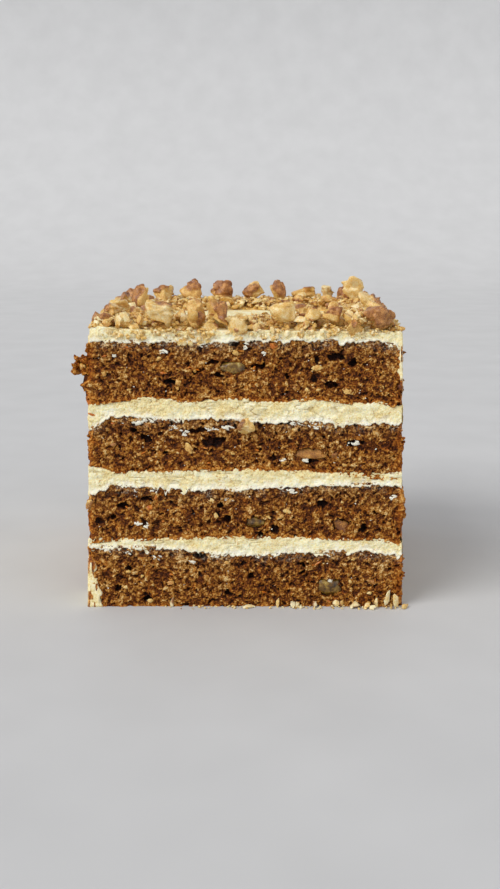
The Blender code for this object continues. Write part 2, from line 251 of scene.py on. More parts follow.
def tube(name, points, ring=False, **masks):
    """A tube from an array of stations by points round the loop by 3.

    It is capped at both ends, or joined end to end as a ring. Masks are 0 where they stop short.
    """
    stations, around = points.shape[:2]
    flat = points.reshape(-1, 3)
    number = np.arange(stations * around).reshape(stations, around)
    nearer, further = (number, np.roll(number, -1, 0)) if ring else (number[:-1], number[1:])
    quads = np.stack([nearer, further, np.roll(further, -1, 1), np.roll(nearer, -1, 1)], axis=-1)
    quads = quads.reshape(-1, 4)
    caps = [] if ring else [number[0], number[-1][::-1]]
    if enclosed_volume(flat - flat.mean(0), quads) < 0:
        quads = quads[:, ::-1]
        caps = [cap[::-1] for cap in caps]
    faces = quads.tolist() + [cap.tolist() for cap in caps]
    return add_mesh(name, flat, faces, **{key: pad(masks[key], around) for key in masks})


def settle(piece, material, slot, *nodes):
    """Gives a finished piece its material and its body, and hides the solids of its nodes. slot is
    not used.
    """
    piece.data.materials.append(material)
    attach(piece, "root")
    if nodes:
        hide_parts(*nodes)
    print(piece.name, len(piece.data.vertices), "points")
    return piece


# %% [markdown]
# Materials are trees of nodes. Small helpers keep them readable: one turns a colour as seen on a
# screen into the linear numbers that Blender wants, one adds a node with its settings and inputs,
# and the others name what single nodes are used for.

# %% Node helpers


def seen(red, green, blue):
    """A screen colour from 0 to 255 as linear light."""
    share = np.array([red, green, blue]) / 255
    linear = np.where(share <= 0.04045, share / 12.92, ((share + 0.055) / 1.055) ** 2.4)
    return (*linear.tolist(), 1.0)


def feed(tree, node, inputs):
    """Gives a node its inputs: each is a value or another node's output."""
    for key, value in inputs.items():
        if isinstance(value, bpy.types.NodeSocket):
            tree.links.new(value, node.inputs[key])
        else:
            node.inputs[key].default_value = value


def add(tree, kind, inputs=None, **settings):
    """Adds a node with its settings and inputs."""
    made = tree.nodes.new("ShaderNode" + kind)
    for key, value in settings.items():
        setattr(made, key, value)
    feed(tree, made, inputs or {})
    return made


MIX_FACTOR, MIX_A, MIX_B, MIX_RESULT = 0, 6, 7, 2  # sockets of a Mix node set to colours


def blend(tree, factor, first, second):
    """The mix of two colours."""
    inputs = {MIX_FACTOR: factor, MIX_A: first, MIX_B: second}
    return add(tree, "Mix", inputs, data_type="RGBA").outputs[MIX_RESULT]


def maths(tree, operation, *values):
    """The result of a Math node. Only a MULTIPLY_ADD may leave the range from 0 to 1."""
    clamped = operation != "MULTIPLY_ADD"
    inputs = dict(enumerate(values))
    return add(tree, "Math", inputs, operation=operation, use_clamp=clamped).outputs[0]


def blend_value(tree, factor, first, second):
    """The mix of two values."""
    return add(tree, "Mix", {0: factor, 2: first, 3: second}, data_type="FLOAT").outputs[0]


def remap(tree, value, low=0.0, high=1.0, to_low=0.0, to_high=1.0):
    """The value stretched so that low to high becomes to_low to to_high, and clamped there."""
    inputs = {"Value": value, "From Min": low, "From Max": high}
    inputs.update({"To Min": to_low, "To Max": to_high})
    return add(tree, "MapRange", inputs).outputs["Result"]


def ramp(tree, factor, *stops):
    """A colour ramp. Each stop is a place followed by a screen colour."""
    made = add(tree, "ValToRGB", {"Fac": factor})
    elements = made.color_ramp.elements
    while len(elements) < len(stops):
        elements.new(0.5)
    for element, (place, *colour) in zip(elements, stops):
        element.position = place
        element.color = seen(*colour)
    return made.outputs["Color"]


def grain(tree, size, detail=2.0, stretch=(1, 1, 1)):
    """Noise on the object's own coordinates with features of the given size in millimetres."""
    place = add(tree, "TexCoord").outputs["Object"]
    place = add(tree, "Mapping", {"Vector": place, "Scale": stretch}).outputs["Vector"]
    inputs = {"Vector": place, "Scale": 1 / (size * MM), "Detail": detail}
    return add(tree, "TexNoise", inputs).outputs["Fac"]


print("mid grey is", round(seen(128, 128, 128)[0], 3), "in linear light")

# %% [markdown]
# A look is made in one of two ways. A group holds colours that several materials share, and puts
# out only a colour, a roughness and a relief. A material holds one shader and feeds it from groups,
# with masks that were stored on the mesh.

# %% Groups and materials


def new_group(name, *inputs):
    """A group with value inputs that puts out a colour, a roughness and a relief."""
    tree = bpy.data.node_groups.new(name, "ShaderNodeTree")
    for key in inputs:
        tree.interface.new_socket(key, in_out="INPUT", socket_type="NodeSocketFloat")
    for key, kind in (("Colour", "Color"), ("Roughness", "Float"), ("Relief", "Float")):
        tree.interface.new_socket(key, in_out="OUTPUT", socket_type="NodeSocket" + kind)
    start, end = tree.nodes.new("NodeGroupInput"), tree.nodes.new("NodeGroupOutput")
    return tree, start.outputs, end


def new_material(name, **constants):
    """A material with one Principled shader, and constants such as roughness set on it."""
    made = bpy.data.materials.new(name)
    made.use_nodes = True
    shader = made.node_tree.nodes["Principled BSDF"]
    for key, value in constants.items():
        shader.inputs[key.replace("_", " ")].default_value = value
    return made, made.node_tree, shader


def mask(tree, name):
    """A mask that was stored on the mesh."""
    return add(tree, "Attribute", attribute_name=name).outputs["Fac"]


def place_group(tree, group, *masks):
    """Places a group, feeds it the mesh's masks of these names, and returns its outputs."""
    inputs = {name.title(): mask(tree, name) for name in masks}
    return add(tree, "Group", inputs, node_tree=group).outputs


def wear(tree, shader, colour, roughness, normal):
    """Links a colour, a roughness and a normal to a material's shader."""
    feed(tree, shader, {"Base Color": colour, "Roughness": roughness, "Normal": normal})


def bump(tree, height, depth):
    """A normal from a height between 0 and 1 that stands for a depth in millimetres."""
    inputs = {"Height": height, "Distance": depth * MM, "Strength": 1.0}
    return add(tree, "Bump", inputs).outputs["Normal"]


print("groups made so far:", len(bpy.data.node_groups))

# %% [markdown]
# ## Crumb
#
# Carrot cake is a moist brown foam. A knife opens its air bubbles, so the cut is a landscape of
# thin bright walls round dark holes, with grains of bran between them. The mesh carries the holes
# and the grains as real relief, and stores how high each point lies. The colour follows that
# height as painted shade, darker the deeper a point lies: nearly black in a hole, brown on the
# slope, tan on a wall. A group holds these colours because the sponges, the bare patches of the
# sides and the lumps at the edges all use them.

# %% Crumb colours as a shared group
crumb_group, given, end = new_group("crumb_colours", "Height", "Crust", "Grey")
speckle = blend_value(crumb_group, 0.5, grain(crumb_group, 0.6, 2.0), grain(crumb_group, 2.0, 3.0))
speckle = remap(crumb_group, speckle, 0.34, 0.66)
patches = grain(crumb_group, 8.0, 3.0)
# Painted shade: the height mask makes the colour darker the deeper a point lies in a hole.
shade_and_grain = blend_value(crumb_group, 0.42, given["Height"], speckle)
# Painted shade in small pits: each cell of this pattern is darker towards its middle than at its
# walls.
place = add(crumb_group, "TexCoord").outputs["Object"]
cells = add(crumb_group, "TexVoronoi", {"Vector": place, "Scale": 1 / (1.5 * MM)})
walls = remap(crumb_group, cells.outputs["Distance"], 0.1, 0.4)
shade_and_grain = blend_value(crumb_group, 0.3, shade_and_grain, maths(crumb_group, "MULTIPLY", shade_and_grain, walls))
# Broad patches are lighter or darker, so what they add on average is taken off again.
shade_and_grain = maths(crumb_group, "MULTIPLY_ADD", patches, 0.36, shade_and_grain)
shade_and_grain = maths(crumb_group, "SUBTRACT", shade_and_grain, 0.145)
warm = ramp(
    crumb_group, shade_and_grain, (0.12, 12, 1, 0), (0.32, 40, 12, 0), (0.5, 86, 38, 2),
    (0.64, 135, 74, 11), (0.78, 188, 129, 46), (0.96, 240, 206, 140),
)  # fmt: skip
cool = ramp(
    crumb_group, shade_and_grain, (0.12, 10, 2, 0), (0.32, 34, 12, 1), (0.5, 74, 38, 7),
    (0.64, 120, 75, 25), (0.78, 176, 129, 66), (0.96, 238, 208, 155),
)  # fmt: skip
crusty = ramp(
    crumb_group, shade_and_grain, (0.12, 28, 7, 0), (0.32, 88, 36, 3), (0.5, 142, 72, 10),
    (0.66, 188, 110, 26), (0.92, 235, 175, 84),
)  # fmt: skip
greyness = maths(crumb_group, "MULTIPLY_ADD", patches, 1.2, given["Grey"])
greyness = maths(crumb_group, "SUBTRACT", greyness, 0.6)
colour = blend(crumb_group, greyness, warm, cool)
colour = blend(crumb_group, given["Crust"], colour, crusty)
shine = remap(crumb_group, shade_and_grain, to_low=0.7, to_high=0.3)
feed(crumb_group, end, {"Colour": colour, "Roughness": shine, "Relief": speckle})
print("group", crumb_group.name)

# %% [markdown]
# The sponges' own material places that group and adds the cream that the knife dragged over the
# crumb, as a thin pale film where the mesh says so.

# %% The sponges' material
sponge_look, tree, shader = new_material("moist_carrot_crumb", Specular_IOR_Level=0.16)
crumb = place_group(tree, crumb_group, "height", "crust", "grey")
flecks = remap(tree, grain(tree, 0.8, 3.0), 0.46, 0.64)
film = maths(tree, "MULTIPLY", mask(tree, "film"), flecks)
colour = blend(tree, film, crumb["Colour"], seen(238, 222, 190))
wear(tree, shader, colour, crumb["Roughness"], bump(tree, crumb["Relief"], 0.4))
print("material", sponge_look.name)

# %% [markdown]
# Now the relief itself. Three sizes of bubbles are laid over each other on coordinates that a
# slow noise has bent, so that no bubble stays round. A few large holes are listed one by one,
# because the eye finds them first. Grains of two sizes stand up between the holes.

# %% Relief of the torn crumb
# Large holes of the cut: x from the middle, height, half width, half height, in millimetres.
HOLES = {
    "sponge_1": [(41, 119.5, 4.4, 1.7), (49, 117, 1.6, 1.6), (5.5, 115.2, 3.6, 1.2),
                 (-22, 113.5, 2.3, 1.2), (-15, 117.5, 2.6, 1.3), (-35, 108, 3.4, 1.9),
                 (-12, 111, 2.0, 1.1), (19, 110, 1.5, 1.0), (39, 106.5, 2.4, 1.4)],
    "sponge_2": [(-15, 79.8, 5.0, 2.7), (-46, 82, 2.3, 2.0), (-52, 86, 2.0, 1.4),
                 (49, 79, 2.7, 1.7), (-22, 85, 4.2, 1.2), (18, 89, 3.0, 1.3),
                 (30, 71, 1.7, 1.4), (-38, 75, 1.3, 0.9)],
    "sponge_3": [(-58, 49.5, 2.6, 1.4), (-63, 44, 1.4, 1.1), (-12, 50, 1.5, 1.1),
                 (36, 50.5, 2.4, 1.7), (56, 38.5, 1.8, 1.6), (-9, 43, 1.7, 2.0),
                 (-47, 53, 2.6, 1.3), (7, 36, 1.4, 1.2)],
    "sponge_4": [(-56, 19.5, 1.8, 1.5), (-47, 3.5, 3.2, 1.3), (-8.5, 6.5, 2.0, 1.7),
                 (-22, 25, 3.2, 1.5), (3, 15, 1.6, 1.1), (-61, 8.5, 1.6, 1.3),
                 (26, 20.5, 2.0, 1.0)],
}  # fmt: skip


def crumb_relief(x, z, seed, holes=()):
    """How far the torn crumb stands out of the cut, in millimetres, and its height mask.

    The offset is two sizes of grain and slow hills, less three sizes of bubble and the listed
    holes.
    """
    bent_x = x + 1.1 * noise(2.6, seed, x, z) + 0.45 * noise(0.9, seed + 1, x, z)
    bent_z = z + 1.1 * noise(2.6, seed + 2, x, z) + 0.45 * noise(0.9, seed + 3, x, z)
    fine = bubbles(bent_x, bent_z, 0.95, 0.2, 0.55, 0.8, seed + 10)
    medium = bubbles(bent_x, bent_z * 1.25, 2.2, 0.4, 1.15, 0.5, seed + 20)
    large = bubbles(bent_x * 0.8, bent_z, 9.0, 0.8, 1.8, 0.4, seed + 30)
    named = np.zeros(np.shape(x))
    rough = 0.3 * noise(1.3, seed + 43, x, z)
    for hole_x, hole_z, wide, tall in holes:
        across = (bent_x - MIDDLE - hole_x) / wide
        up = (bent_z - hole_z) / tall
        named = np.maximum(named, np.clip(1.1 - across**2 - up**2 + rough, 0, 1))
    grains = 0.3 * noise(0.62, seed + 40, x, z) + 0.34 * noise(1.5, seed + 41, x, z)
    slow = 0.5 * noise(7.0, seed + 42, x, z)
    depth = 0.9 * fine + 0.9 * medium + 1.0 * large + 2.4 * np.sqrt(named)
    offset = grains + slow - depth
    # The height mask is painted shade: the colour it gives is darker in bubbles and holes and
    # lighter on the grains.
    height = np.clip(0.72 + 0.7 * grains - 0.46 * depth, 0, 1)
    return offset, height


sample = crumb_relief(np.linspace(-9, 9, 300)[:, None], np.linspace(0, 9, 150)[None, :], 7)[0]
print("crumb relief from", sample.min().round(2), "to", sample.max().round(2), "mm")

# %% [markdown]
# A sponge is one closed tube carried from left to right. Its loop starts at the foot of the cut
# face, climbs the face in fine steps, then runs back over the top and home along the underside in
# a few coarse ones, because those are hidden. The underside was baked against paper and the ends
# against tin, so both are caramel coloured.

# %% Loops round a layer
STEP = 0.3  # distance between points on the cut face
HIDDEN = np.array([0.03, 0.2, 0.6, 1.0])  # shares of the depth at which hidden points lie
TUCK = 1.2  # how far a sponge's face carries on behind the cream above and below it
LIP = 2.4  # thickness of a sponge's outermost lip, which covers the edge of the side coat


def behind(x, z, share, inset=COAT + 0.4):
    """The y of a point that lies a share of the way back, clear of the rounded back corners."""
    side = half_width(z) - inset - np.abs(x - MIDDLE)
    bend = CORNER - inset
    short = np.clip(bend - side, 0, bend)
    cut_off = bend - np.sqrt(bend**2 - short**2)
    return front_at(z) + share * (back_at(z) - inset - cut_off - front_at(z))


def loop_round(x, face_y, face_z, under, over):
    """Joins the face's points to the hidden ones above and below: stations by loop by 3."""
    columns = np.broadcast_to(x[:, None], face_y.shape)
    face = np.stack([columns, face_y, face_z], axis=-1)
    hidden = []
    for level, shares in ((over, HIDDEN), (under, HIDDEN[::-1])):
        wide = np.broadcast_to(x[:, None], (len(x), len(shares)))
        tall = np.broadcast_to(level[:, None], wide.shape)
        hidden.append(np.stack([wide, behind(wide, tall, shares[None, :]), tall], axis=-1))
    return np.concatenate([face, *hidden], axis=1)


def across_face(reach):
    """Points from left to right that lie a STEP apart and reach so far from the middle."""
    return np.linspace(MIDDLE - reach, MIDDLE + reach, round(2 * reach / STEP))


def grid_on(x, start, end, rows):
    """A grid on columns at x, with even rows from start to end: the x and the other coordinate."""
    other = start[:, None] + np.linspace(0, 1, rows)[None, :] * (end - start)[:, None]
    return np.broadcast_to(x[:, None], other.shape), other


print("points across the foot of the cut:", len(across_face(half_width(0))))

# %% [markdown]
# The fruit and the nuts that a sponge holds each sit in a dark gap, which is one more hole of the
# relief. At its left and right ends the crust is ragged: in places it stands out, in others it has
# broken away.

# %% The four sponges
SET_IN = {
    "sponge_1": ["sultana_1"],
    "sponge_2": ["nut_in_crumb_1"],
    "sponge_3": ["sultana_2", "nut_in_crumb_2"],
    "sponge_4": ["sultana_3"],
}


def gap_round(node):
    """A hole that leaves a dark gap round a piece of fruit or nut set in the crumb."""
    near, far = box_of(node)
    middle, half = (near + far) / 2, (far - near) / 2
    return (middle[0] - MIDDLE, middle[2], half[0] * 0.7, half[2] * 0.74)


# Where the crust sticks out or draws back: side, height, how far, half height.
CRUST = {
    "sponge_1": [(-1, 106.2, 4.0, 1.8), (-1, 102.5, 1.2, 2.6), (-1, 92.0, -2.2, 3.4)],
    "sponge_2": [(1, 77.0, 0.9, 2.0), (1, 83.5, -1.0, 1.2), (-1, 84.0, -1.2, 3.0)],
    "sponge_3": [(1, 48.0, 1.3, 6.0), (-1, 44.0, 0.6, 5.0)],
    "sponge_4": [(1, 24.5, 0.8, 1.5), (-1, 24.0, -1.0, 2.0)],
}


def crust_line(name, x, z, seed):
    """How far the sponge's end stands out sideways: noise plus one soft bump for each row."""
    side = np.where(x < MIDDLE, -1.0, 1.0)
    along = z + 300 * side  # so that the noise differs from left to right
    push = 0.5 * noise(2.8, seed, along) + 0.35 * noise(0.9, seed + 1, along)
    for which, height, far, tall in CRUST[name]:
        push = push + (side == which) * far * np.exp(-(((z - height) / tall) ** 2))
    return side * push


def crumb_masks(x, z, below, above, from_end, seed):
    """Crust along the foot, at the ends and in patches, and grey and a film of cream at the top."""
    foot_band = 1.9 + 1.5 * noise(3.0, seed + 50, x)
    crust = 0.65 * (1 - rise(below, 0.2, foot_band))
    crust = np.maximum(crust, 0.85 * (1 - rise(from_end, 0.5, 4.5 + 3 * noise(4.0, seed + 51, z))))
    crust = np.maximum(crust, 0.55 * rise(noise(2.2, seed + 52, x, z), 0.6, 0.85))
    grey = 0.1 + 0.4 * (1 - rise(above, 2.0, 11.0))
    film = rise(noise((2.2, 1.0), seed + 53, x, z), 0.0, 0.6) + 0.3
    film = 0.6 * film * (1 - rise(above, 0.2, 4.5))
    film = film * rise(noise(5.0, seed + 54, x, z), -0.5, 0.3)
    return {"crust": crust, "grey": grey, "film": film}


def make_sponge(name, seed):
    """One sponge: relief on the cut, ragged ends, and plain faces where it is hidden."""
    foot, top = foot_of[name], top_of[name]
    holes = HOLES[name] + [gap_round(node) for node in SET_IN[name]]
    level = (foot(MIDDLE) + top(MIDDLE)) / 2
    reach = half_width(level) - 0.1
    x = across_face(reach)
    under, over = foot(x), top(x)
    start = np.maximum(under - TUCK, 0.0)
    rows = round((over - under).mean() / STEP) + 4
    wide, z = grid_on(x, start, over + TUCK, rows)
    offset, height = crumb_relief(wide, z, seed, holes)
    from_end = reach - np.abs(wide - MIDDLE)
    offset = offset - 1.0 * rise(-from_end, -1.4, 0) + 0.35
    masks = crumb_masks(wide, z, z - under[:, None], over[:, None] - z, from_end, seed)
    points = loop_round(x, front_at(z) - offset, z, under, over)
    near_end = 1 - rise(from_end, 0.0, 4.0)
    points[:, :rows, 0] += near_end * crust_line(name, wide, z, seed + 55)
    inner = reach - COAT + 0.7
    points[:, rows:, 0] = np.clip(points[:, rows:, 0], MIDDLE - inner, MIDDLE + inner)
    lip = np.abs(x - MIDDLE) > inner  # these columns only make a thin lip at the cut
    points[lip, rows:, 1] = FRONT + LIP + 0.03 * (points[lip, rows:, 1] - FRONT)
    masks["height"] = pad(height, points.shape[1], 0.6)
    return settle(tube(name + "_crumb", points, **masks), sponge_look, "sponge", name)


for number in (1, 2, 3, 4):
    make_sponge(f"sponge_{number}", 100 * number)

# %% [markdown]
# ## Cream
#
# Cream cheese frosting is pale yellow and a little grainy, like fine curd. It is matte where it
# was cut and shows soft ridges where a palette knife passed. The group below gives the slightly
# mottled colour and a grainy relief to every cream surface. It paints light and shade too: a
# whiter colour is painted light along torn edges and on smears, and a darker one is painted shade
# in hollows. Crumb stains it brown.

# %% Cream colours as a shared group
cream_group, given, end = new_group("cream_colours", "Hollow_Shade", "Stain", "Fresh")
curd = grain(cream_group, 0.7, 3.0)
cloud = grain(cream_group, 6.0, 2.0)
tone = maths(cream_group, "MULTIPLY_ADD", curd, 0.55, maths(cream_group, "MULTIPLY", cloud, 0.45))
colour = ramp(
    cream_group, tone, (0.34, 222, 194, 124), (0.47, 250, 233, 174), (0.62, 255, 250, 216)
)
# Painted light: where this mask is high the cream is painted nearly white.
colour = blend(cream_group, given["Fresh"], colour, seen(255, 252, 234))
# Painted shade: hollows get a darker colour.
colour = blend(cream_group, given["Hollow_Shade"], colour, seen(204, 178, 112))
colour = blend(cream_group, given["Stain"], colour, seen(196, 138, 66))
soft = remap(cream_group, curd, to_low=0.5, to_high=0.72)
relief = grain(cream_group, 0.45, 3.0)
feed(cream_group, end, {"Colour": colour, "Roughness": soft, "Relief": relief})

cream_look, tree, shader = new_material(
    "cream_cheese_frosting",
    Subsurface_Weight=0.15,
    Subsurface_Scale=0.003,
    Subsurface_Radius=(1.0, 0.75, 0.4),
)
cream = place_group(tree, cream_group, "hollow_shade", "stain", "fresh")
wear(tree, shader, cream["Colour"], cream["Roughness"], bump(tree, cream["Relief"], 0.4))
print("material", cream_look.name)

# %% [markdown]
# A filling is a tube like a sponge, but its face is a ragged tongue. Where cream belongs, the
# face stands at the cut. Beyond its edge it falls away into the sponge, so the line that shows is
# where two rough surfaces meet, and it comes out as uneven as a real one. The knife moved
# downwards: it dragged teeth of cream over the sponge below and left the upper edge clean.

# %% Face of a cream band
FALL = 3.0  # how far cream drops back for each millimetre past its edge


def cream_face(x, z, under, over, seed, teeth):
    """How far the cream stands out of the cut, and its masks: painted shade in hollows, stains,
    painted light on edges.

    under and over are the heights of its edges. Between them the offset is streaks, lumps and
    steps less pits and thin slanted cracks. Past them it drops by FALL.
    """
    ragged_low = 0.6 * noise(2.2, seed, x) + 0.5 * noise(0.8, seed + 1, x)
    drag = rise(noise(3.4, seed + 2, x), 0.25, 0.9) * rise(noise(1.1, seed + 3, x), -0.4, 0.8)
    ragged_low = ragged_low - 2.6 * teeth * drag
    ragged_high = 0.35 * noise(3.5, seed + 4, x) + 0.3 * noise(0.9, seed + 5, x)
    above_foot = z - (under + ragged_low)
    below_top = (over + ragged_high) - z
    inside = np.minimum(above_foot, below_top)
    streaks = 0.16 * noise((6.0, 1.6), seed + 6, x + 0.8 * z, z)
    lumps = 0.34 * noise(2.6, seed + 7, x, z) + 0.22 * noise(0.9, seed + 8, x, z)
    crack = (1 - np.abs(noise((5.0, 1.6), seed + 21, x + 0.6 * z, z))) ** 14
    crack = crack * rise(noise(8.0, seed + 22, x, z), 0.0, 0.5)
    patchy = rise(noise(16.0, seed + 18, x), 0.1, 0.6)
    pits = bubbles(x + noise(1.5, seed + 9, x, z), z, 3.2, 0.15, 0.7, 0.35, seed + 10)
    steps = 0.35 * patchy * rise(noise((1.3, 5.0), seed + 14, x + 0.5 * z, z), 0.2, 0.6)
    body = 0.35 + streaks + lumps + steps - 0.7 * np.maximum(pits, crack)
    body = body + 0.5 * (1 - rise(above_foot, 0, 2.2))
    offset = body * rise(inside, -0.2, 0.5) - FALL * np.clip(-inside, 0, None)
    # Painted shade: pits, cracks and low streaks get a darker colour.
    hollow_shade = np.clip(0.9 * pits + 0.8 * crack + 0.5 * rise(-streaks, 0.05, 0.25), 0, 1)
    edge = 1 - rise(inside, 0.0, 0.5)
    stain = 0.75 * edge * rise(noise(1.3, seed + 15, x, z), -0.1, 0.5) * (below_top < 1.5)
    # Painted light: a band above the lower, torn edge is painted whiter.
    torn_off = above_foot + 1.6 * noise(3.0, seed + 19, x, z) + 0.8 * noise(1.0, seed + 20, x, z)
    fresh = 0.7 * (1 - rise(torn_off, 0.3, 4.0))
    specks = rise(noise(0.7, seed + 16, x, z), 0.72, 0.85) * rise(noise(5, seed + 17, x, z), 0, 0.4)
    stain = np.maximum(stain, 0.8 * specks)
    return offset, {"hollow_shade": hollow_shade * (1 - fresh), "stain": stain, "fresh": fresh}


HANG, LAP = 4.2, 1.6  # how far a filling's face carries on below and above its edges
ROW = 0.26  # distance between rows of points on a filling's face


def make_filling(name, seed, teeth):
    """One filling, with a ragged face. A larger teeth drags more cream over the sponge below."""
    foot, top = foot_of[name], top_of[name]
    x = across_face(half_width(foot(MIDDLE)) - 0.5)
    under, over = foot(x), top(x)
    start, end = under - HANG, over + LAP
    wide, z = grid_on(x, start, end, round((end - start).mean() / ROW))
    offset, masks = cream_face(wide, z, under[:, None], over[:, None], seed, teeth)
    points = loop_round(x, front_at(z) - offset, z, under, over)
    return settle(tube(name + "_cream", points, **masks), cream_look, "cream", name)


make_filling("filling_1", 611, 0.8)
make_filling("filling_2", 622, 1.0)
make_filling("filling_3", 633, 0.9)

# %% [markdown]
# The top was spread with a palette knife and carries the nuts. Its face is one more band of cream,
# and its upper surface is a height field with the knife's low swirls. It is a tube again, whose
# loop turns from the face on to the top. Its left, right and back edges stay just under the
# rounded rim of the side coat.

# %% The cream on top
RIM = 3.2  # radius of the rounded upper edge


def top_level(x):
    """Height of the cream's upper surface, a little higher at the left end."""
    return TOP + 2.0 * rise(MIDDLE - x, 40, 72) - 0.5 * rise(x - MIDDLE, 30, 70)


def swirl(x, y):
    """Relief that a palette knife leaves: ridges along slow arcs, and small lumps."""
    from_x, from_y = x - MIDDLE + 60, y - FRONT + 30  # from where the knife turned
    way, turn = np.hypot(from_x, from_y), np.arctan2(from_y, from_x) * 60
    ridges = 0.35 * noise((5.0, 60.0), 700, way, turn)
    return ridges + 0.3 * noise(11.0, 701, x, y) + 0.08 * noise(1.6, 702, x, y)


FACE_ROWS, TOP_ROWS = 34, 136  # points of the loop on the cut face and over the top


def make_top_cream():
    """The cream on top: its face is a band with no upper edge, dented where bits were lost.

    The loop then runs back over the top, and its lid closes it through the middle of the cake.
    """
    reach = half_width(TOP) - 0.6
    x = across_face(reach)
    under = top_of["sponge_1"](x)
    edge = top_level(x) - 0.3
    wide, z = grid_on(x, under - 4.0, edge, FACE_ROWS)
    far_over = np.full(z.shape, TOP + 30.0)
    offset, masks = cream_face(wide, z, under[:, None], far_over, 644, 0.7)
    dent = 0.9 * rise(noise(4.5, 645, x), 0.1, 0.8)[:, None]
    offset = offset - dent * rise(z, edge[:, None] - 3.5, edge[:, None])
    face = np.stack([wide, front_at(z) - offset, z], axis=-1)
    back = behind(x, np.full(len(x), TOP), 1.0, 0.6)
    wide, y = grid_on(x, face[:, -1, 1] + 0.5, back, TOP_ROWS)
    tall = top_level(wide) + swirl(wide, y)
    from_side = np.minimum(reach - np.abs(wide - MIDDLE), back[:, None] - y)
    tall = tall - 1.6 * (1 - rise(from_side, 0.0, RIM + 1))
    top = np.stack([wide, y, tall], axis=-1)
    lid = np.stack([np.broadcast_to(x[:, None], (len(x), 3)),
                    np.stack([back, (back + FRONT) / 2, np.full(len(x), FRONT + 4)], axis=1),
                    np.broadcast_to(under[:, None], (len(x), 3))], axis=-1)  # fmt: skip
    points = np.concatenate([face, top, lid], axis=1)
    return settle(tube("top_cream", points, **masks), cream_look, "cream", "frosting")


make_top_cream()

# %% [markdown]
# The side coat is a profile carried along the outline: from a narrow strip on the cut face round
# the left corner, along three sides, and back to a strip at the right.

# %% Path of the side coat
STRIP = 12.0  # length of the strips on the cut face
COUNTS = (34, 155, 12, 150, 12, 155, 34)  # points along each stretch of the path


def outline(z):
    """The coat's path at each height: x, y, direction out of it, and the way along it.

    Seven stretches follow each other: strip, left side, arc, back, arc, right side, strip. The
    last three are the first three mirrored.
    """
    half, front, back = half_width(z), front_at(z), back_at(z)
    arc = CORNER * math.pi / 2
    lengths = [STRIP, DEPTH - CORNER, arc, WIDTH - 2 * CORNER, arc, DEPTH - CORNER, STRIP]
    places = []
    for stretch, count in enumerate(COUNTS):
        t = (np.arange(count) / count)[:, None]
        u = 1 - t if stretch > 3 else t
        if stretch in (0, 6):
            x, y, angle = -half + STRIP * (1 - u), front, -90.0
        elif stretch in (1, 5):
            x, y, angle = -half, front + u * (back - CORNER - front), -180.0
        elif stretch in (2, 4):
            turn = math.pi * (1 - u / 2)
            x, y = -half + CORNER * (1 + np.cos(turn)), back - CORNER * (1 - np.sin(turn))
            angle = -180 - 90 * u
        else:
            x, y, angle = -half + CORNER + u * 2 * (half - CORNER), back, -270.0
        mirrored = -1 if stretch > 3 else 1
        radians = np.radians(angle)
        s = sum(lengths[:stretch]) + t * lengths[stretch]
        parts = (mirrored * x, y, mirrored * np.cos(radians), np.sin(radians), s)
        places.append(np.stack([np.broadcast_to(part, (count, len(z))) for part in parts]))
    return np.concatenate(places, axis=1), sum(lengths)


print("the path is", round(float(outline(np.zeros(1))[1])), "mm long, with", sum(COUNTS), "points")

# %% [markdown]
# The sides were scraped almost bare, so cream fills the seams and the hollows while the baked edge
# of the sponge shows through between them. One mask says where the coat is bare, and both the
# relief and the material follow it.

# %% Where the coat is bare
TOP_SEAM = 126.0  # height of the seam between the upper sponge and the cream on top
END_SEAMS = [
    [foot_of[name](MIDDLE + side * 70) for name in LAYERS[1:]] + [TOP_SEAM] for side in (-1, 1)
]


def at_sponges(s, z, total):
    """1 at the height of a sponge and 0 at the seams, whose heights change from left to right."""
    share = rise(s, STRIP + DEPTH, total - STRIP - DEPTH)
    seams = [left + (right - left) * share for left, right in zip(*END_SEAMS)]
    level = 1 - rise(z, seams[0] - 2.0, seams[0])
    for lower, upper in zip(seams[1::2], seams[2::2]):
        level += rise(z, lower, lower + 2) * (1 - rise(z, upper - 2.5, upper - 0.5))
    return np.clip(level, 0, 1)


def scraped_off(s, z, from_left, from_right):
    """How well the coat was scraped: patches of noise, more of it along the two front corners.

    More cream was left at the foot of the left side, at the top of the right one and under the
    rim.
    """
    patch = 0.5 * noise((22.0, 8.0), 801, s, z) + 0.35 * noise((7.0, 2.6), 802, s, z)
    patch = patch + 0.3 * noise((2.6, 1.1), 803, s, z) + 0.12 * noise(0.9, 815, s, z)
    wander = 7 * noise(9.0, 816, s, z) + 2 * noise(2.5, 817, s, z)
    left_foot = (1 - rise(from_left + wander, 8, 20)) * (1 - rise(z + 0.4 * wander, 20, 29))
    left_foot = left_foot * (from_left < from_right)
    right_top = (1 - rise(from_right + wander, 12, 26)) * rise(z + 0.3 * wander, 99, 106)
    right_top = right_top * (from_left >= from_right)
    corner = 0.9 * (1 - rise(np.minimum(from_left, from_right), 0, 7))
    return patch + 0.28 + corner - 1.8 * left_foot - 1.8 * right_top - 0.8 * rise(z, 118, 124)


def strip_width(z, on_left):
    """How far a strip reaches over the cut face. It is gone where this is below zero."""
    left = -1.6 + 0.5 * noise(5, 807, z) + 5.0 * (1 - rise(z, 22, 29))
    left = left + 3.0 * (1 - rise(z, 2, 18))
    right = -1.6 + 0.6 * noise(5, 808, z) + 3.6 * rise(z, 100, 106)
    return np.where(on_left, left, right) + 0.9 * noise(1.4, 809, z)


print("seams at the left end:", [round(float(height), 1) for height in END_SEAMS[0]], "mm")

# %% [markdown]
# The coat has streaks of cream where it is whole, and the crumb's relief, a little deeper, where it
# is bare. Where a strip ends on the cut face, it dives into the sponge.

# %% The scraped coat
WALL_ROWS, RIM_ROWS, INNER_ROWS = 138, 8, 9  # points up the side, round the rim, down the inside


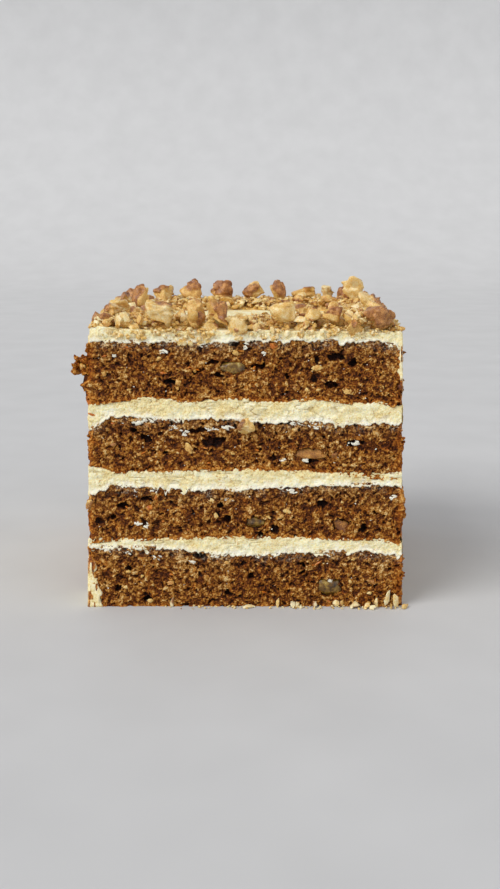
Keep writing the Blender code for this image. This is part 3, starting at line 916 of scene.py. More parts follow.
def make_coat():
    """The coat: its loop runs up the outside, over the rim and down the inside."""
    wall = np.linspace(0, TOP - RIM, WALL_ROWS)
    arc = np.linspace(0, math.pi / 2, RIM_ROWS)[1:]
    z_rows = np.concatenate([wall, TOP - RIM + RIM * np.sin(arc)])
    inset = np.concatenate([np.zeros(len(wall)), RIM * (1 - np.cos(arc))])
    (x, y, out_x, out_y, s), total = outline(z_rows)
    z = np.broadcast_to(z_rows, x.shape)
    from_left, from_right = s - STRIP, total - STRIP - s  # way past each front corner
    on_strip = np.maximum(-from_left, -from_right)
    sponge_level = at_sponges(s, z, total)
    patch = scraped_off(s, z, from_left, from_right)
    bare = rise(patch, -0.1, 0.3) * sponge_level
    # Where the coat is bare, this height mask paints shade into the crumb's holes.
    crumb_offset, height = crumb_relief(s, z, 810)
    scraped = 0.3 * noise((26.0, 3.0), 804, s, z) + 0.18 * noise((9.0, 0.9), 805, s, z)
    scraped = scraped + 0.1 * noise(1.3, 806, s, z)
    offset = (scraped + 0.15) * (1 - bare) + bare * (0.35 * crumb_offset - 0.75)
    inside = strip_width(z, from_left < from_right) - on_strip
    strip_offset = 0.85 + 0.25 * noise((0.8, 4.0), 811, s, z) + 0.2 * noise(1.2, 812, s, z)
    strip_offset = strip_offset * rise(inside, -0.2, 0.4) - FALL * np.clip(-inside, 0, None)
    blending = rise(on_strip, -0.4, 0.5)
    offset = offset * (1 - blending) + strip_offset * blending
    streaks = rise(noise((0.9, 5.0), 818, s, z), 0.15, 0.4) * blending * sponge_level
    bare = np.maximum(bare * (1 - 0.1 * blending), 0.95 * streaks)
    offset = offset - inset * (1 - blending)
    outer = np.stack([x + MIDDLE + out_x * offset, y + out_y * offset, z], axis=-1)
    rows = [round(k) for k in np.linspace(WALL_ROWS - 1, 0, INNER_ROWS)]
    depth = np.where(on_strip[:, rows] > 0, 9.0, 3.0)
    limit = half_width(z[:, rows]) - 3.0
    inner_x = np.clip(x[:, rows] - out_x[:, rows] * depth, -limit, limit) + MIDDLE
    inner_y = y[:, rows] - out_y[:, rows] * depth
    points = np.concatenate([outer, np.stack([inner_x, inner_y, z[:, rows]], axis=-1)], axis=1)
    crust = 0.35 + 0.5 * rise(noise((6.0, 3.0), 813, s, z), -0.3, 0.5)
    stain = 0.5 * rise(patch, -0.25, 0.05) * (1 - bare) * rise(noise(1.5, 814, s, z), -0.1, 0.5)
    # Painted shade: the low scraped streaks get a darker colour.
    hollow_shade = 0.5 * rise(-scraped, 0.1, 0.5)
    masks = {"height": height, "crust": crust, "bare": bare, "hollow_shade": hollow_shade, "stain": stain}
    return settle(tube("scraped_coat", points, **masks), coat_look, "cream", "frosting")


coat_look, tree, shader = new_material("scraped_side_cream", Specular_IOR_Level=0.4)
crumb = place_group(tree, crumb_group, "height", "crust")
cream = place_group(tree, cream_group, "hollow_shade", "stain")
torn = maths(tree, "MULTIPLY_ADD", grain(tree, 0.9, 3.0), 0.7, mask(tree, "bare"))
colour = blend(tree, remap(tree, torn, 0.6, 1.05), cream["Colour"], crumb["Colour"])
wear(tree, shader, colour, cream["Roughness"], bump(tree, cream["Relief"], 0.15))
make_coat()

# %% [markdown]
# ## Walnuts
#
# A walnut kernel is pale, oily flesh in a thin brown skin. Chopped, it shows both: flat broken
# faces in honey and cream colours, and lobes of skin that keep the kernel's wrinkles. One group
# mixes flesh and skin by a mask, and a tone moves the flesh from toasted to fresh and pale.

# %% Walnut colours as a shared group
walnut_group, given, end = new_group("walnut_colours", "Skin", "Tone")
clouds = grain(walnut_group, 3.0, 3.0)
fibres = grain(walnut_group, 0.55, 3.0, (1, 1, 1.8))
tone = blend_value(walnut_group, 0.4, given["Tone"], remap(walnut_group, clouds, 0.3, 0.7))
tone = blend_value(walnut_group, 0.3, tone, remap(walnut_group, fibres, 0.3, 0.7))
flesh = ramp(
    walnut_group, tone, (0.0, 112, 58, 10), (0.28, 190, 128, 46), (0.55, 234, 192, 106),
    (0.82, 255, 241, 196),
)  # fmt: skip
papery = maths(walnut_group, "MULTIPLY", clouds, 0.5)
papery = maths(walnut_group, "MULTIPLY_ADD", fibres, 0.5, papery)
skin = ramp(walnut_group, papery, (0.34, 76, 30, 5), (0.48, 146, 80, 26), (0.62, 212, 148, 74))
colour = blend(walnut_group, given["Skin"], flesh, skin)
oily = remap(walnut_group, clouds, to_low=0.2, to_high=0.6)
feed(walnut_group, end, {"Colour": colour, "Roughness": oily, "Relief": fibres})

walnut_look, tree, shader = new_material(
    "chopped_walnut",
    Coat_Weight=0.25,
    Coat_Roughness=0.3,
    Subsurface_Weight=0.12,
    Subsurface_Scale=0.002,
    Subsurface_Radius=(1.0, 0.6, 0.25),
)
walnut = place_group(tree, walnut_group, "skin", "tone")
wear(tree, shader, walnut["Colour"], walnut["Roughness"], bump(tree, walnut["Relief"], 0.3))
print("material", walnut_look.name)

# %% [markdown]
# A broken nut is a ball cut by random planes. In each direction its surface lies at the nearest
# plane, and a high power softens the edge where two planes meet. The ball's grid of directions is
# made once, and serves a large kernel as well as a thousand small bits.

# %% Directions on a ball


def ball_grid(rings, sides):
    """Unit directions from pole to pole, with the quads and the triangles that join them."""
    polar = np.linspace(0, math.pi, rings + 2)[1:-1][:, None]
    turn = np.linspace(0, 2 * math.pi, sides, endpoint=False)[None, :]
    belt = [np.sin(polar) * np.cos(turn), np.sin(polar) * np.sin(turn), np.cos(polar) + 0 * turn]
    belt = np.stack(belt, axis=-1).reshape(-1, 3)
    directions = np.concatenate([[[0.0, 0.0, 1.0]], belt, [[0.0, 0.0, -1.0]]])
    number = 1 + np.arange(rings * sides).reshape(rings, sides)
    upper, lower = number[:-1], number[1:]
    quads = np.stack([upper, lower, np.roll(lower, -1, 1), np.roll(upper, -1, 1)], axis=-1)
    top, foot = np.zeros(sides, int), np.full(sides, rings * sides + 1)
    lid = np.stack([top, number[0], np.roll(number[0], -1)], axis=-1)
    base = np.stack([foot, np.roll(number[-1], -1), number[-1]], axis=-1)
    return directions, quads.reshape(-1, 4), np.concatenate([lid, base])


def unit(vectors):
    """The same vectors with length 1."""
    return vectors / np.linalg.norm(vectors, axis=-1, keepdims=True)


FINE, COARSE, TINY = ball_grid(30, 46), ball_grid(5, 9), ball_grid(3, 6)


def fitted_ball(name, reach, low, high, **masks):
    """A ball that reaches a given way in each direction, stretched to fill the box low to high."""
    directions, quads, triangles = FINE
    points = directions * reach[:, None]
    points = (points - points.min(axis=0)) / np.ptp(points, axis=0)
    faces = quads.tolist() + triangles.tolist()
    return add_mesh(name, low + points * (high - low), faces, **masks)


for name, (_, quads, triangles) in (("fine", FINE), ("coarse", COARSE), ("tiny", TINY)):
    print("a", name, "ball has", len(quads) + len(triangles), "faces")

# %% [markdown]
# The large kernels each have a solid of their own in the frame, so each is fitted to the box of
# its solid. On one side a kernel may keep its skin, which follows soft lobes with a crease between
# them instead of flat breaks. The table gives that side, how much of the nut it covers, and how
# pale the flesh is.

# %% The large walnut pieces
# Node number: direction the skin faces, share of the nut it covers, paleness of the flesh.
KERNELS = {
    1: ((0, -1, 0), 0.0, 0.75), 2: ((0, -1, 0.5), 0.1, 0.35), 3: ((-0.3, -0.8, 0.6), 0.62, 0.6),
    4: ((-1, 0, 0), 0.0, 0.5), 5: ((-1, 0, 1), 0.2, 0.4), 6: ((0.5, 0.3, 1), 0.16, 0.8),
    7: ((1, -0.4, 0), 0.25, 0.5), 8: ((0.2, -0.7, 0.7), 0.4, 0.4), 9: ((0, 0, 1), 0.0, 0.7),
    10: ((0, 0, 1), 0.1, 0.6), 11: ((0, -1, 1), 0.2, 0.4), 12: ((-0.9, -0.2, 0.6), 0.35, 0.5),
    13: ((0, 0, 1), 0.1, 0.5), 14: ((1, 0, 0), 0.0, 0.55), 15: ((0, 0, 1), 0.2, 0.55),
    16: ((-0.5, 0, 1), 0.35, 0.5), 17: ((0, -0.5, 1), 0.3, 0.4), 18: ((0.2, -0.6, 1), 0.5, 0.4),
    19: ((-0.8, -0.5, 0.6), 0.35, 0.6), 20: ((0.3, -0.1, 1), 0.4, 0.6), 21: ((0, 0, 1), 0.15, 0.4),
    22: ((1, 0, 0), 0.0, 0.85), 23: ((0, -0.8, 0.7), 0.75, 0.4), 24: ((0.6, 0.5, 0.6), 0.1, 0.8),
    25: ((0, 1, 1), 0.15, 0.7), 26: ((1, 0, 0.5), 0.25, 0.65), 27: ((0, -0.4, 1), 0.5, 0.5),
    28: ((0, 0, 1), 0.1, 0.6), 29: ((-1, 0, 0.3), 0.2, 0.5), 30: ((0, 0, 1), 0.0, 0.7),
    31: ((-0.6, 0, 1), 0.3, 0.55), 32: ((-0.3, -0.3, 1), 0.5, 0.45),
}  # fmt: skip


def kernel(name, low, high, seed, skin_side, share, tone, slot, *nodes):
    """One broken kernel that fills the box from low to high.

    In direction d the breaks lie at (0.7^16 + sum((d.n / h)^16))^(-1/16) over eight planes with
    normals n at distances h, less notches where a slow noise is high. The skin side replaces them
    by 0.85 plus smooth lobes less narrow creases.
    """
    rng = np.random.default_rng(seed)
    directions = FINE[0]
    on = directions.T
    normals = unit(rng.normal(size=(8, 3)))
    facing = np.clip(directions @ normals.T, 0, None) / rng.uniform(0.34, 0.8, 8)
    broken = (0.7**16 + (facing**16).sum(axis=1)) ** (-1 / 16)
    notch = rise(noise(0.75, seed + 5, *on), 0.15, 0.55)
    broken = broken * (1 - 0.3 * notch) * (1 + 0.09 * noise(0.35, seed, *on))
    broken = broken * (1 + 0.045 * noise(0.13, seed + 1, *on))
    crease = (1 - np.abs(noise(0.55, seed + 2, *on))) ** 6
    lobes = 0.85 + 0.2 * noise(0.6, seed + 3, *on) - 0.16 * crease
    turned_to = directions @ unit(np.array(skin_side, float)) + 0.22 * noise(0.5, seed + 4, *on)
    skin = rise(turned_to, 0.9 - 2 * share, 1.05 - 2 * share)
    reach = broken * (1 - skin) + np.minimum(lobes, 1.3 * broken) * skin
    made = fitted_ball(name, reach, low, high, skin=0.9 * skin, tone=tone)
    return settle(made, walnut_look, slot, *nodes)


slot_of = {part["node"]: part["material_slot"] for part in frame["record"]["subparts"]}
kernels = []
for number, look in KERNELS.items():
    node = f"walnut_{number:02d}"
    seed = 900 + 7 * number
    kernels.append(kernel(node + "_kernel", *box_of(node), seed, *look, slot_of[node], node))

# %% [markdown]
# Under the chopped nuts lies a smaller core, so that the heap is closed but no plain solid shows.
# It is a ring with an oval section, carried along a square with soft corners.

# %% Core of the nut heap


def from_edge(x, y):
    """How far a place on top lies inside the cake's upper edge."""
    side = half_width(TOP) - np.abs(x - MIDDLE)
    return np.minimum(side, np.minimum(y - front_at(TOP), back_at(TOP) - y))


CORE_INSET = 18.0  # how far inside the cake's upper edge the ring's middle lies
CORE_WIDE, CORE_TALL = 7.5, 2.0  # half sizes of its section


def make_core():
    """A ring: an oval section of CORE_WIDE by CORE_TALL follows |cos|^(1/3), |sin|^(1/3)."""
    turn = np.linspace(0, 2 * math.pi, 240, endpoint=False)[:, None]
    ring = np.linspace(0, 2 * math.pi, 20, endpoint=False)[None, :]
    inset = CORE_INSET + CORE_WIDE * np.cos(ring)
    half_x = half_width(TOP) - inset
    half_y = (back_at(TOP) - front_at(TOP)) / 2 - inset
    across, along = np.cos(turn), np.sin(turn)
    x = MIDDLE + half_x * np.sign(across) * np.abs(across) ** (1 / 3)
    y = (back_at(TOP) + front_at(TOP)) / 2 + half_y * np.sign(along) * np.abs(along) ** (1 / 3)
    z = TOP + CORE_TALL * np.sin(ring) + 0.5 * noise(3.0, 950, x, y)
    made = tube("nut_heap_core", np.stack([x, y, z], axis=-1), ring=True)
    paint(made, skin=0.0, tone=0.45)
    return settle(made, walnut_look, "walnut_flesh", "nut_border")


make_core()

# %% [markdown]
# The chopped nuts are dropped one after another on a map of heights, the large ones first. Each
# one comes to rest at about the middle height of the map under it, and then raises the map by its
# own shape. So they lie on and between each other like a real heap, without a slow simulation of
# falling bodies.

# %% Dropping nuts on a map of heights
CELL = 0.5  # size of one cell of the map
CELLS_X, CELLS_Y = 336, 330
map_low = np.array([MIDDLE - 84, FRONT - 10])
map_x, map_y = np.meshgrid(
    map_low[0] + CELL * np.arange(CELLS_X), map_low[1] + CELL * np.arange(CELLS_Y), indexing="ij"
)
inside = from_edge(map_x, map_y)
# The map falls off past the cake's edge, and the core and the kernels stand on it.
pile = top_level(map_x) + swirl(map_x, map_y) - 6.0 * (1 - rise(inside, -2.0, 2.0))
core = 1 - ((inside - CORE_INSET) / CORE_WIDE) ** 2
pile = np.maximum(pile, TOP + CORE_TALL * np.sqrt(np.clip(core, 0, None)))
for made in kernels:
    corners = np.empty(len(made.data.vertices) * 3)
    made.data.vertices.foreach_get("co", corners)
    corners = corners.reshape(-1, 3) / MM
    cell = ((corners[:, :2] - map_low) / CELL).round().astype(int)
    np.maximum.at(pile, (cell[:, 0], cell[:, 1]), corners[:, 2])


def drop(count, seed, sizes, zone, flatness, highest):
    """Drops bits on the map and returns their places and half sizes.

    sizes is the range of their lengths, zone of their distances from the edge and flatness of
    height over length. No bit lands where the map is above highest.
    """
    rng = np.random.default_rng(seed)
    places, halves = [], []
    while len(places) < count:
        x, y = MIDDLE + rng.uniform(-WIDTH / 2, WIDTH / 2), rng.uniform(FRONT - 1, BACK + 1)
        wobble = 7 * float(noise(14.0, seed, np.float64(x), np.float64(y)))
        if not zone[0] < float(from_edge(x, y)) < zone[1] + wobble:
            continue
        half = rng.uniform(*sizes) / 2
        half = half * np.array([1.0, rng.uniform(0.6, 0.95), rng.uniform(*flatness)])
        i, j = ((np.array([x, y]) - map_low) / CELL).round().astype(int)
        n = max(1, round(half[1] / CELL))
        patch = pile[i - n : i + n + 1, j - n : j + n + 1]
        base = np.percentile(patch, 55)
        if base > highest:
            continue
        z = base + 0.6 * half[2]
        out = np.hypot(*np.meshgrid(np.arange(-n, n + 1), np.arange(-n, n + 1))) * CELL / half[1]
        crown = z + half[2] * np.sqrt(np.clip(1 - out**2, 0, None))
        patch[out < 1] = np.maximum(patch, crown)[out < 1]
        places.append((x, y, z))
        halves.append(half)
    return np.array(places), np.array(halves)


print("map of heights:", pile.shape, "cells, highest", pile.max().round(1), "mm")

# %% [markdown]
# All bits of one kind are one mesh. Their shapes are worked out together: the same formula as for
# the large kernels, with one more array axis for the bits.

# %% Many broken bits in one mesh


def turn_about(axis, angles):
    """Rotation matrices about axis 0, 1 or 2, one for each angle."""
    matrices = np.zeros((len(angles), 3, 3))
    first, second = (axis + 1) % 3, (axis + 2) % 3
    matrices[:, axis, axis] = 1
    matrices[:, first, first] = matrices[:, second, second] = np.cos(angles)
    matrices[:, first, second] = -np.sin(angles)
    matrices[:, second, first] = np.sin(angles)
    return matrices


def spins(count, rng, tilt):
    """Rotation matrices: a turn about z, a limited tilt about x, and another turn about z."""
    first, second = rng.uniform(0, 2 * math.pi, (2, count))
    lean = rng.uniform(-tilt, tilt, count)
    return turn_about(2, first) @ turn_about(0, lean) @ turn_about(2, second)


def bits(name, places, halves, grid, seed, tilt=0.6, coarse=0.1, turns=None):
    """One mesh of broken bits, and the random generator for what comes next.

    In direction d a bit reaches 1.2 (1 + sum((d.n / h)^12))^(-1/12) of its half size, for eight
    random planes, times one plus a little random roughness.
    """
    rng = np.random.default_rng(seed)
    directions, quads, triangles = grid
    count = len(places)
    normals = unit(rng.normal(size=(count, 8, 3)))
    distance = rng.uniform(0.28, 0.9, (count, 1, 8))
    facing = np.clip(np.einsum("vk,npk->nvp", directions, normals), 0, None) / distance
    reach = (1 + (facing**12).sum(axis=2)) ** (-1 / 12)
    reach = 1.2 * reach * (1 + coarse * rng.normal(size=reach.shape))
    shape = directions * reach[:, :, None] * halves[:, None, :]
    turns = spins(count, rng, tilt) if turns is None else turns
    points = np.einsum("nvk,njk->nvj", shape, turns) + places[:, None, :]
    first = (np.arange(count) * len(directions))[:, None, None]
    faces = (first + quads).reshape(-1, 4).tolist() + (first + triangles).reshape(-1, 3).tolist()
    made = add_mesh(name, points.reshape(-1, 3), faces)
    made.data.set_sharp_from_angle(angle=math.radians(38))
    return made, rng


def nut_bits(name, places, halves, grid, seed, skin_chance, slot, pale=(0.25, 1.0), **how):
    """Broken nut bits, each with its own paleness, some with skin on one side."""
    made, rng = bits(name, places, halves, grid, seed, **how)
    directions = grid[0]
    count = len(places)
    tone = np.repeat(rng.uniform(*pale, count), len(directions))
    side = unit(rng.normal(size=(count, 3)))
    has_skin = (rng.uniform(size=count) < skin_chance)[:, None]
    skin = rise(side @ directions.T, 0.0, 0.35) * has_skin
    paint(made, tone=tone, skin=0.9 * skin)
    return settle(made, walnut_look, slot)


places, halves = drop(460, 21, (4.0, 7.5), (1.5, 24.0), (0.5, 0.85), TOP + 4.5)
skinned = np.arange(len(places)) % 4 == 0
plain = ~skinned
nut_bits("chopped_walnut_flesh", places[plain], halves[plain], COARSE, 31, 0.25, "walnut_flesh")
nut_bits("chopped_walnut_skin", places[skinned], halves[skinned], COARSE, 32, 1.0, "walnut_skin")
places, halves = drop(1500, 22, (2.0, 4.5), (0.5, 27.0), (0.25, 0.7), TOP + 5.0)
nut_bits("fine_walnut_bits", places, halves, COARSE, 33, 0.2, "walnut_flesh", coarse=0.14)
places, halves = drop(1900, 23, (0.7, 2.0), (0.2, 33.0), (0.3, 0.8), TOP + 6.0)
nut_bits("walnut_crumbs", places, halves, TINY, 34, 0.15, "walnut_flesh", coarse=0.12)

# %% [markdown]
# A few bits have slid over the front edge and stick to the cut cream, and one nut piece sits where
# the upper filling was cut. The bits are scattered round listed spots along the edge.

# %% Bits over the edge and the nut on the cut face


def scatter(spots, seed):
    """Random places inside ellipses: rows of middle x, z, half width, half height and count."""
    rng = np.random.default_rng(seed)
    rows = []
    for x, z, wide, tall, count in spots:
        turn, far = rng.uniform(0, 2 * math.pi, count), np.sqrt(rng.uniform(0, 1, count))
        across, up = wide * far * np.cos(turn), tall * far * np.sin(turn)
        rows.append(np.stack([x + across, z + up], axis=1))
    rows = np.concatenate(rows)
    return MIDDLE + rows[:, 0], rows[:, 1], rng


def on_face(x, z, proud):
    """Places on the cut face that stand proud of it by some millimetres."""
    return np.stack([x, front_at(z) - proud, z], axis=1)


# x from the middle, height, half width, half height, number of bits
SPILLED = [(-59, 130, 6, 1.6, 10), (-49, 129.5, 5, 1.8, 12), (-24, 128, 9, 3.2, 36),
           (-36, 130, 7, 1.8, 16), (-3, 129, 4, 2.5, 8), (12, 130, 8, 2.4, 20),
           (28, 129, 4, 2.6, 9), (40, 131, 6, 1.5, 9), (51, 129, 3.5, 2.5, 9),
           (62, 131, 6, 1.6, 8), (-40, 131, 8, 1.2, 10), (0, 131, 60, 1.4, 50)]  # fmt: skip
x, z, rng = scatter(SPILLED, 41)
halves = rng.uniform(0.6, 2.0, (len(x), 1)) * np.array([1.0, 0.55, 0.75])
nut_bits(
    "spilled_walnut_bits", on_face(x, z, 0.5), halves, COARSE, 42, 0.12, "walnut_flesh",
    pale=(0.5, 1.1), tilt=0.9,
)
node = "nut_on_face"
kernel("face_nut", *box_of(node), 975, (-1, -0.1, 0.3), 0.3, 0.75, slot_of[node], node)
# Node number: paleness, how much larger than the solid the slice is cut, how far it is raised.
SLICES = {1: (-0.15, (1.12, 1, 1.2), 0.7), 2: (-0.5, (1.2, 1, 1.3), -0.7)}
for number, (tone, grow, lift) in SLICES.items():
    node = f"nut_in_crumb_{number}"
    seed = 980 + 9 * number
    low, high = box_of(node)
    middle, half = (low + high) / 2 + [0, 0, lift], (high - low) / 2 * grow
    box = (middle - half, middle + half)
    kernel(node + "_slice", *box, seed, (0, 1, 0), 0.3, tone, slot_of[node], node)

# %% [markdown]
# ## Fruit in the crumb
#
# Sultanas swell while the cake bakes and turn olive brown. They are wet, so they show a small sharp
# highlight on a dark, slightly see-through body. Each one is a wrinkled ball fitted to its solid.
# Grated carrot shows as short orange shreds, pressed flat into the cut.

# %% Sultanas and carrot shreds
sultana_look, tree, shader = new_material(
    "moist_sultana",
    Coat_Weight=0.3,
    Coat_Roughness=0.1,
    Subsurface_Weight=0.35,
    Subsurface_Scale=0.003,
    Subsurface_Radius=(1.0, 0.7, 0.25),
)
depth = maths(tree, "MULTIPLY_ADD", grain(tree, 2.2, 3.0), 2.0, mask(tree, "tone"))
depth = maths(tree, "SUBTRACT", depth, 1.0)
colour = ramp(
    tree, depth, (0.0, 54, 32, 4), (0.35, 112, 78, 16), (0.65, 160, 128, 50), (1.0, 208, 190, 126)
)
wet = remap(tree, grain(tree, 1.2, 2.0), to_low=0.2, to_high=0.45)
wear(tree, shader, colour, wet, bump(tree, grain(tree, 0.7, 2.0), 0.25))


def make_sultana(node, seed, tone):
    """A ball of radius 1, with 0.14 of slow lumps less creases 0.12 deep, fitted to its box."""
    on = FINE[0].T
    crease = (1 - np.abs(noise((0.9, 0.5, 0.5), seed, *on))) ** 8
    reach = 1 + 0.14 * noise(0.7, seed + 1, *on) - 0.12 * crease
    made = fitted_ball(node + "_fruit", reach, *box_of(node), tone=tone)
    return settle(made, sultana_look, "fruit", node)


make_sultana("sultana_1", 1001, 0.42)
make_sultana("sultana_2", 1011, 0.4)
make_sultana("sultana_3", 1021, 0.38)

carrot_look, tree, shader = new_material(
    "grated_carrot",
    Subsurface_Weight=0.2,
    Subsurface_Scale=0.002,
    Subsurface_Radius=(1.0, 0.5, 0.15),
)
colour = grain(tree, 0.9, 2.0)
colour = ramp(tree, colour, (0.3, 158, 78, 8), (0.55, 206, 116, 26), (0.8, 240, 170, 74))
wet = remap(tree, grain(tree, 0.6, 2.0), to_low=0.25, to_high=0.5)
feed(tree, shader, {"Base Color": colour, "Roughness": wet})
print("materials", sultana_look.name, carrot_look.name)

# %% [markdown]
# The shreds and the small nut bits in the crumb are too small for solids of their own. The ones
# that catch the eye are listed, and the rest are scattered evenly over the four sponges.

# %% Small pieces set in the cut crumb
set_in_boxes = [box_of(node) for nodes in SET_IN.values() for node in nodes]


def over_sponges(count, seed, margin):
    """Random places on the cut sponges, clear of their edges and of the larger fruit and nuts."""
    rng = np.random.default_rng(seed)
    x = MIDDLE + rng.uniform(-69, 69, count)
    share = rng.uniform(0, 1, count)
    level = rng.integers(1, 5, count)
    z = np.empty(count)
    for number in (1, 2, 3, 4):
        name = f"sponge_{number}"
        chosen = level == number
        under, over = foot_of[name](x[chosen]) + margin, top_of[name](x[chosen]) - margin
        z[chosen] = under + share[chosen] * (over - under)
    for near, far in set_in_boxes:
        on_fruit = (x > near[0]) * (x < far[0]) * (z > near[2]) * (z < far[2])
        x = np.where(on_fruit, far[0] + 2.0, x)
    return x, z, rng


# x from the middle, height, half width, half height
CARROT = [(12.6, 124.5, 2.5, 1.8), (-42.4, 54.2, 1.4, 1.9), (-44.8, 48.6, 2.4, 1.1),
          (-48.4, 29.2, 1.9, 1.2), (-72.2, 98.5, 1.6, 2.2), (-70.5, 93.0, 1.8, 1.0),
          (-67.5, 92.4, 1.3, 0.8), (73.6, 23.0, 0.9, 1.4), (-71.8, 3.6, 1.5, 1.6)]  # fmt: skip
NUTS_IN_CRUMB = [(47.8, 104.4, 4.0, 1.9), (-26.7, 77.8, 2.2, 3.4), (-73.2, 50.8, 1.8, 2.8),
                 (-4.5, 121.5, 1.5, 1.2), (-31, 108, 2.2, 1.4), (33, 114, 2.6, 1.6),
                 (20, 47, 2.4, 1.5), (-36, 12, 2.6, 1.6), (60, 12, 2.4, 1.4)]  # fmt: skip


def listed(table, *more, thick):
    """Places and half sizes of listed pieces followed by more: x, height, half width and height."""
    rows = np.array(table) + [MIDDLE, 0, 0, 0]
    x, z, wide, tall = np.concatenate([rows, np.stack(more, axis=1)]).T
    return x, z, np.stack([wide, np.full(len(x), thick), tall], axis=1)


def in_plane(count, seed, lean):
    """Rotations that only turn a piece within the cut face."""
    return turn_about(1, np.random.default_rng(seed).uniform(-lean, lean, count))


MORE_CARROT, MORE_NUTS = 46, 70  # scattered pieces that are not listed
EDGE_MARGIN = 2.0  # how far they keep from a sponge's upper and lower edges
more_x, more_z, rng = over_sponges(MORE_CARROT, 51, EDGE_MARGIN)
long, short = rng.uniform(0.8, 2.0, MORE_CARROT), rng.uniform(0.3, 0.6, MORE_CARROT)
x, z, halves = listed(CARROT, more_x, more_z, long, short, thick=0.7)
turns = in_plane(len(x), 53, 0.6)
made, _ = bits("carrot_shreds", on_face(x, z, -0.1), halves, COARSE, 52, turns=turns)
settle(made, carrot_look, "fruit")

more_x, more_z, rng = over_sponges(MORE_NUTS, 54, EDGE_MARGIN)
long = rng.uniform(0.5, 1.7, MORE_NUTS)
short = long * rng.uniform(0.5, 0.9, MORE_NUTS)
x, z, halves = listed(NUTS_IN_CRUMB, more_x, more_z, long, short, thick=0.9)
nut_bits(
    "nut_bits_in_crumb", on_face(x, z, 0.1), halves, COARSE, 55, 0.3, "walnut_flesh",
    pale=(0.05, 0.7), turns=in_plane(len(x), 56, 0.5),
)  # fmt: skip

# %% [markdown]
# The knife took cream with it and smeared it over the crumb below each filling: a few long ragged
# smears and many small flecks. Each smear is a row of overlapping flat flecks.

# %% Smears and flecks of cream
# x from the middle, height, half width, half height, number of flecks
SMEARS = [(-48, 89.6, 5, 0.9, 14), (-43, 90.8, 5, 1.0, 12), (-33, 86.5, 2.6, 1.1, 9),
          (-28.5, 84.6, 2.2, 1.5, 9), (-16, 86.2, 2.8, 0.8, 9), (-9, 87.0, 3.2, 0.8, 9),
          (24, 88.4, 4, 1.0, 10), (33, 87.4, 4.0, 1.2, 12), (51.3, 79.2, 1.6, 1.1, 7),
          (17.7, 71.6, 0.7, 0.8, 3), (27.9, 71.6, 0.7, 0.7, 3), (-9.1, 52.5, 3.2, 1.2, 10),
          (21, 56.4, 5.0, 0.8, 11), (69.3, 53.2, 1.2, 1.6, 6), (-51.9, 56.2, 0.7, 2.2, 6),
          (-43.5, 55.6, 0.7, 1.5, 5), (-50.5, 41.0, 1.8, 0.8, 6), (-46.8, 40.2, 1.6, 1.1, 6),
          (-65, 27.5, 1.8, 0.6, 5), (-55.8, 26.8, 1.2, 0.8, 4), (-41.7, 24, 2.0, 1.2, 8),
          (-25.6, 22.2, 1.3, 0.6, 4), (-14.2, 25.2, 5.2, 0.7, 12), (5.9, 25.6, 1.3, 1.3, 6),
          (-20.7, 125.4, 1.0, 1.8, 7), (0, 124.6, 0.7, 1.7, 5), (40, 25.6, 5, 0.6, 6),
          (40, 13.1, 0.5, 0.4, 5), (-60, 120, 1.0, 0.5, 3), (-38, 122, 2.0, 0.7, 4),
          (8, 121, 1.2, 0.6, 3)]  # fmt: skip
FLECKS = 150  # small ones, scattered over the sponges
x, z, rng = scatter(SMEARS, 61)
halves = rng.uniform(0.45, 1.25, (len(x), 1)) * np.array([1.3, 0.4, 0.55])
more_x, more_z, rng = over_sponges(FLECKS, 62, 0.5)
small = rng.uniform(0.12, 0.42, (FLECKS, 1)) * np.array([1.3, 0.9, 0.8])
places = np.concatenate([on_face(x, z, 0.25), on_face(more_x, more_z, 0.1)])
halves = np.concatenate([halves, small])
turns = in_plane(len(places), 64, 0.7)
made, _ = bits("cream_smears", places, halves, COARSE, 63, coarse=0.16, turns=turns)
# Painted light: the smears are painted whiter to offset their own shade.
paint(made, fresh=0.85)
settle(made, cream_look, "cream")

# %% [markdown]
# Crumb also breaks off at the edges of the cut. The largest lug, at the upper left, is a solid of
# its own. Smaller lumps of crust line both edges, and a few crumbs have dropped to the foot of the
# cut and lie against it.

# %% Crumbs at the edges and at the foot


def crumb_lumps(name, places, halves, seed, crust, *nodes, coarse):
    """Lumps of torn crumb: the height mask is random at each point, the crust one for a lump."""
    made, rng = bits(name, places, halves, COARSE, seed, tilt=1.5, coarse=coarse)
    height = np.clip(rng.normal(0.66, 0.22, len(made.data.vertices)), 0, 1)
    paint(made, height=height, crust=np.repeat(crust, len(COARSE[0])), grey=0.2, film=0.0)
    return settle(made, sponge_look, "sponge", *nodes)


LUMPS, ROOTED = 60, 24  # lumps in the lug, and how many of them join it to the sponge
low, high = box_of("side_crumb")
middle, half = (low + high) / 2, (high - low) / 2
rng = np.random.default_rng(70)
around = rng.uniform(-0.72, 0.72, (LUMPS, 3))
around[:ROOTED, 0] = rng.uniform(0.3, 1.3, ROOTED)
sizes, crust = half * rng.uniform(0.28, 0.42, (LUMPS, 1)), rng.uniform(0.5, 1.0, LUMPS)
crumb_lumps("side_lug", middle + around * half, sizes, 71, crust, "side_crumb", coarse=0.14)
middle = middle + half * [0.35, -0.75, -0.05]
half = half * [0.4, 0.3, 0.38]
kernel("nut_in_lug", middle - half, middle + half, 990, (0, 0, -1), 0.1, 0.3, "walnut_flesh")

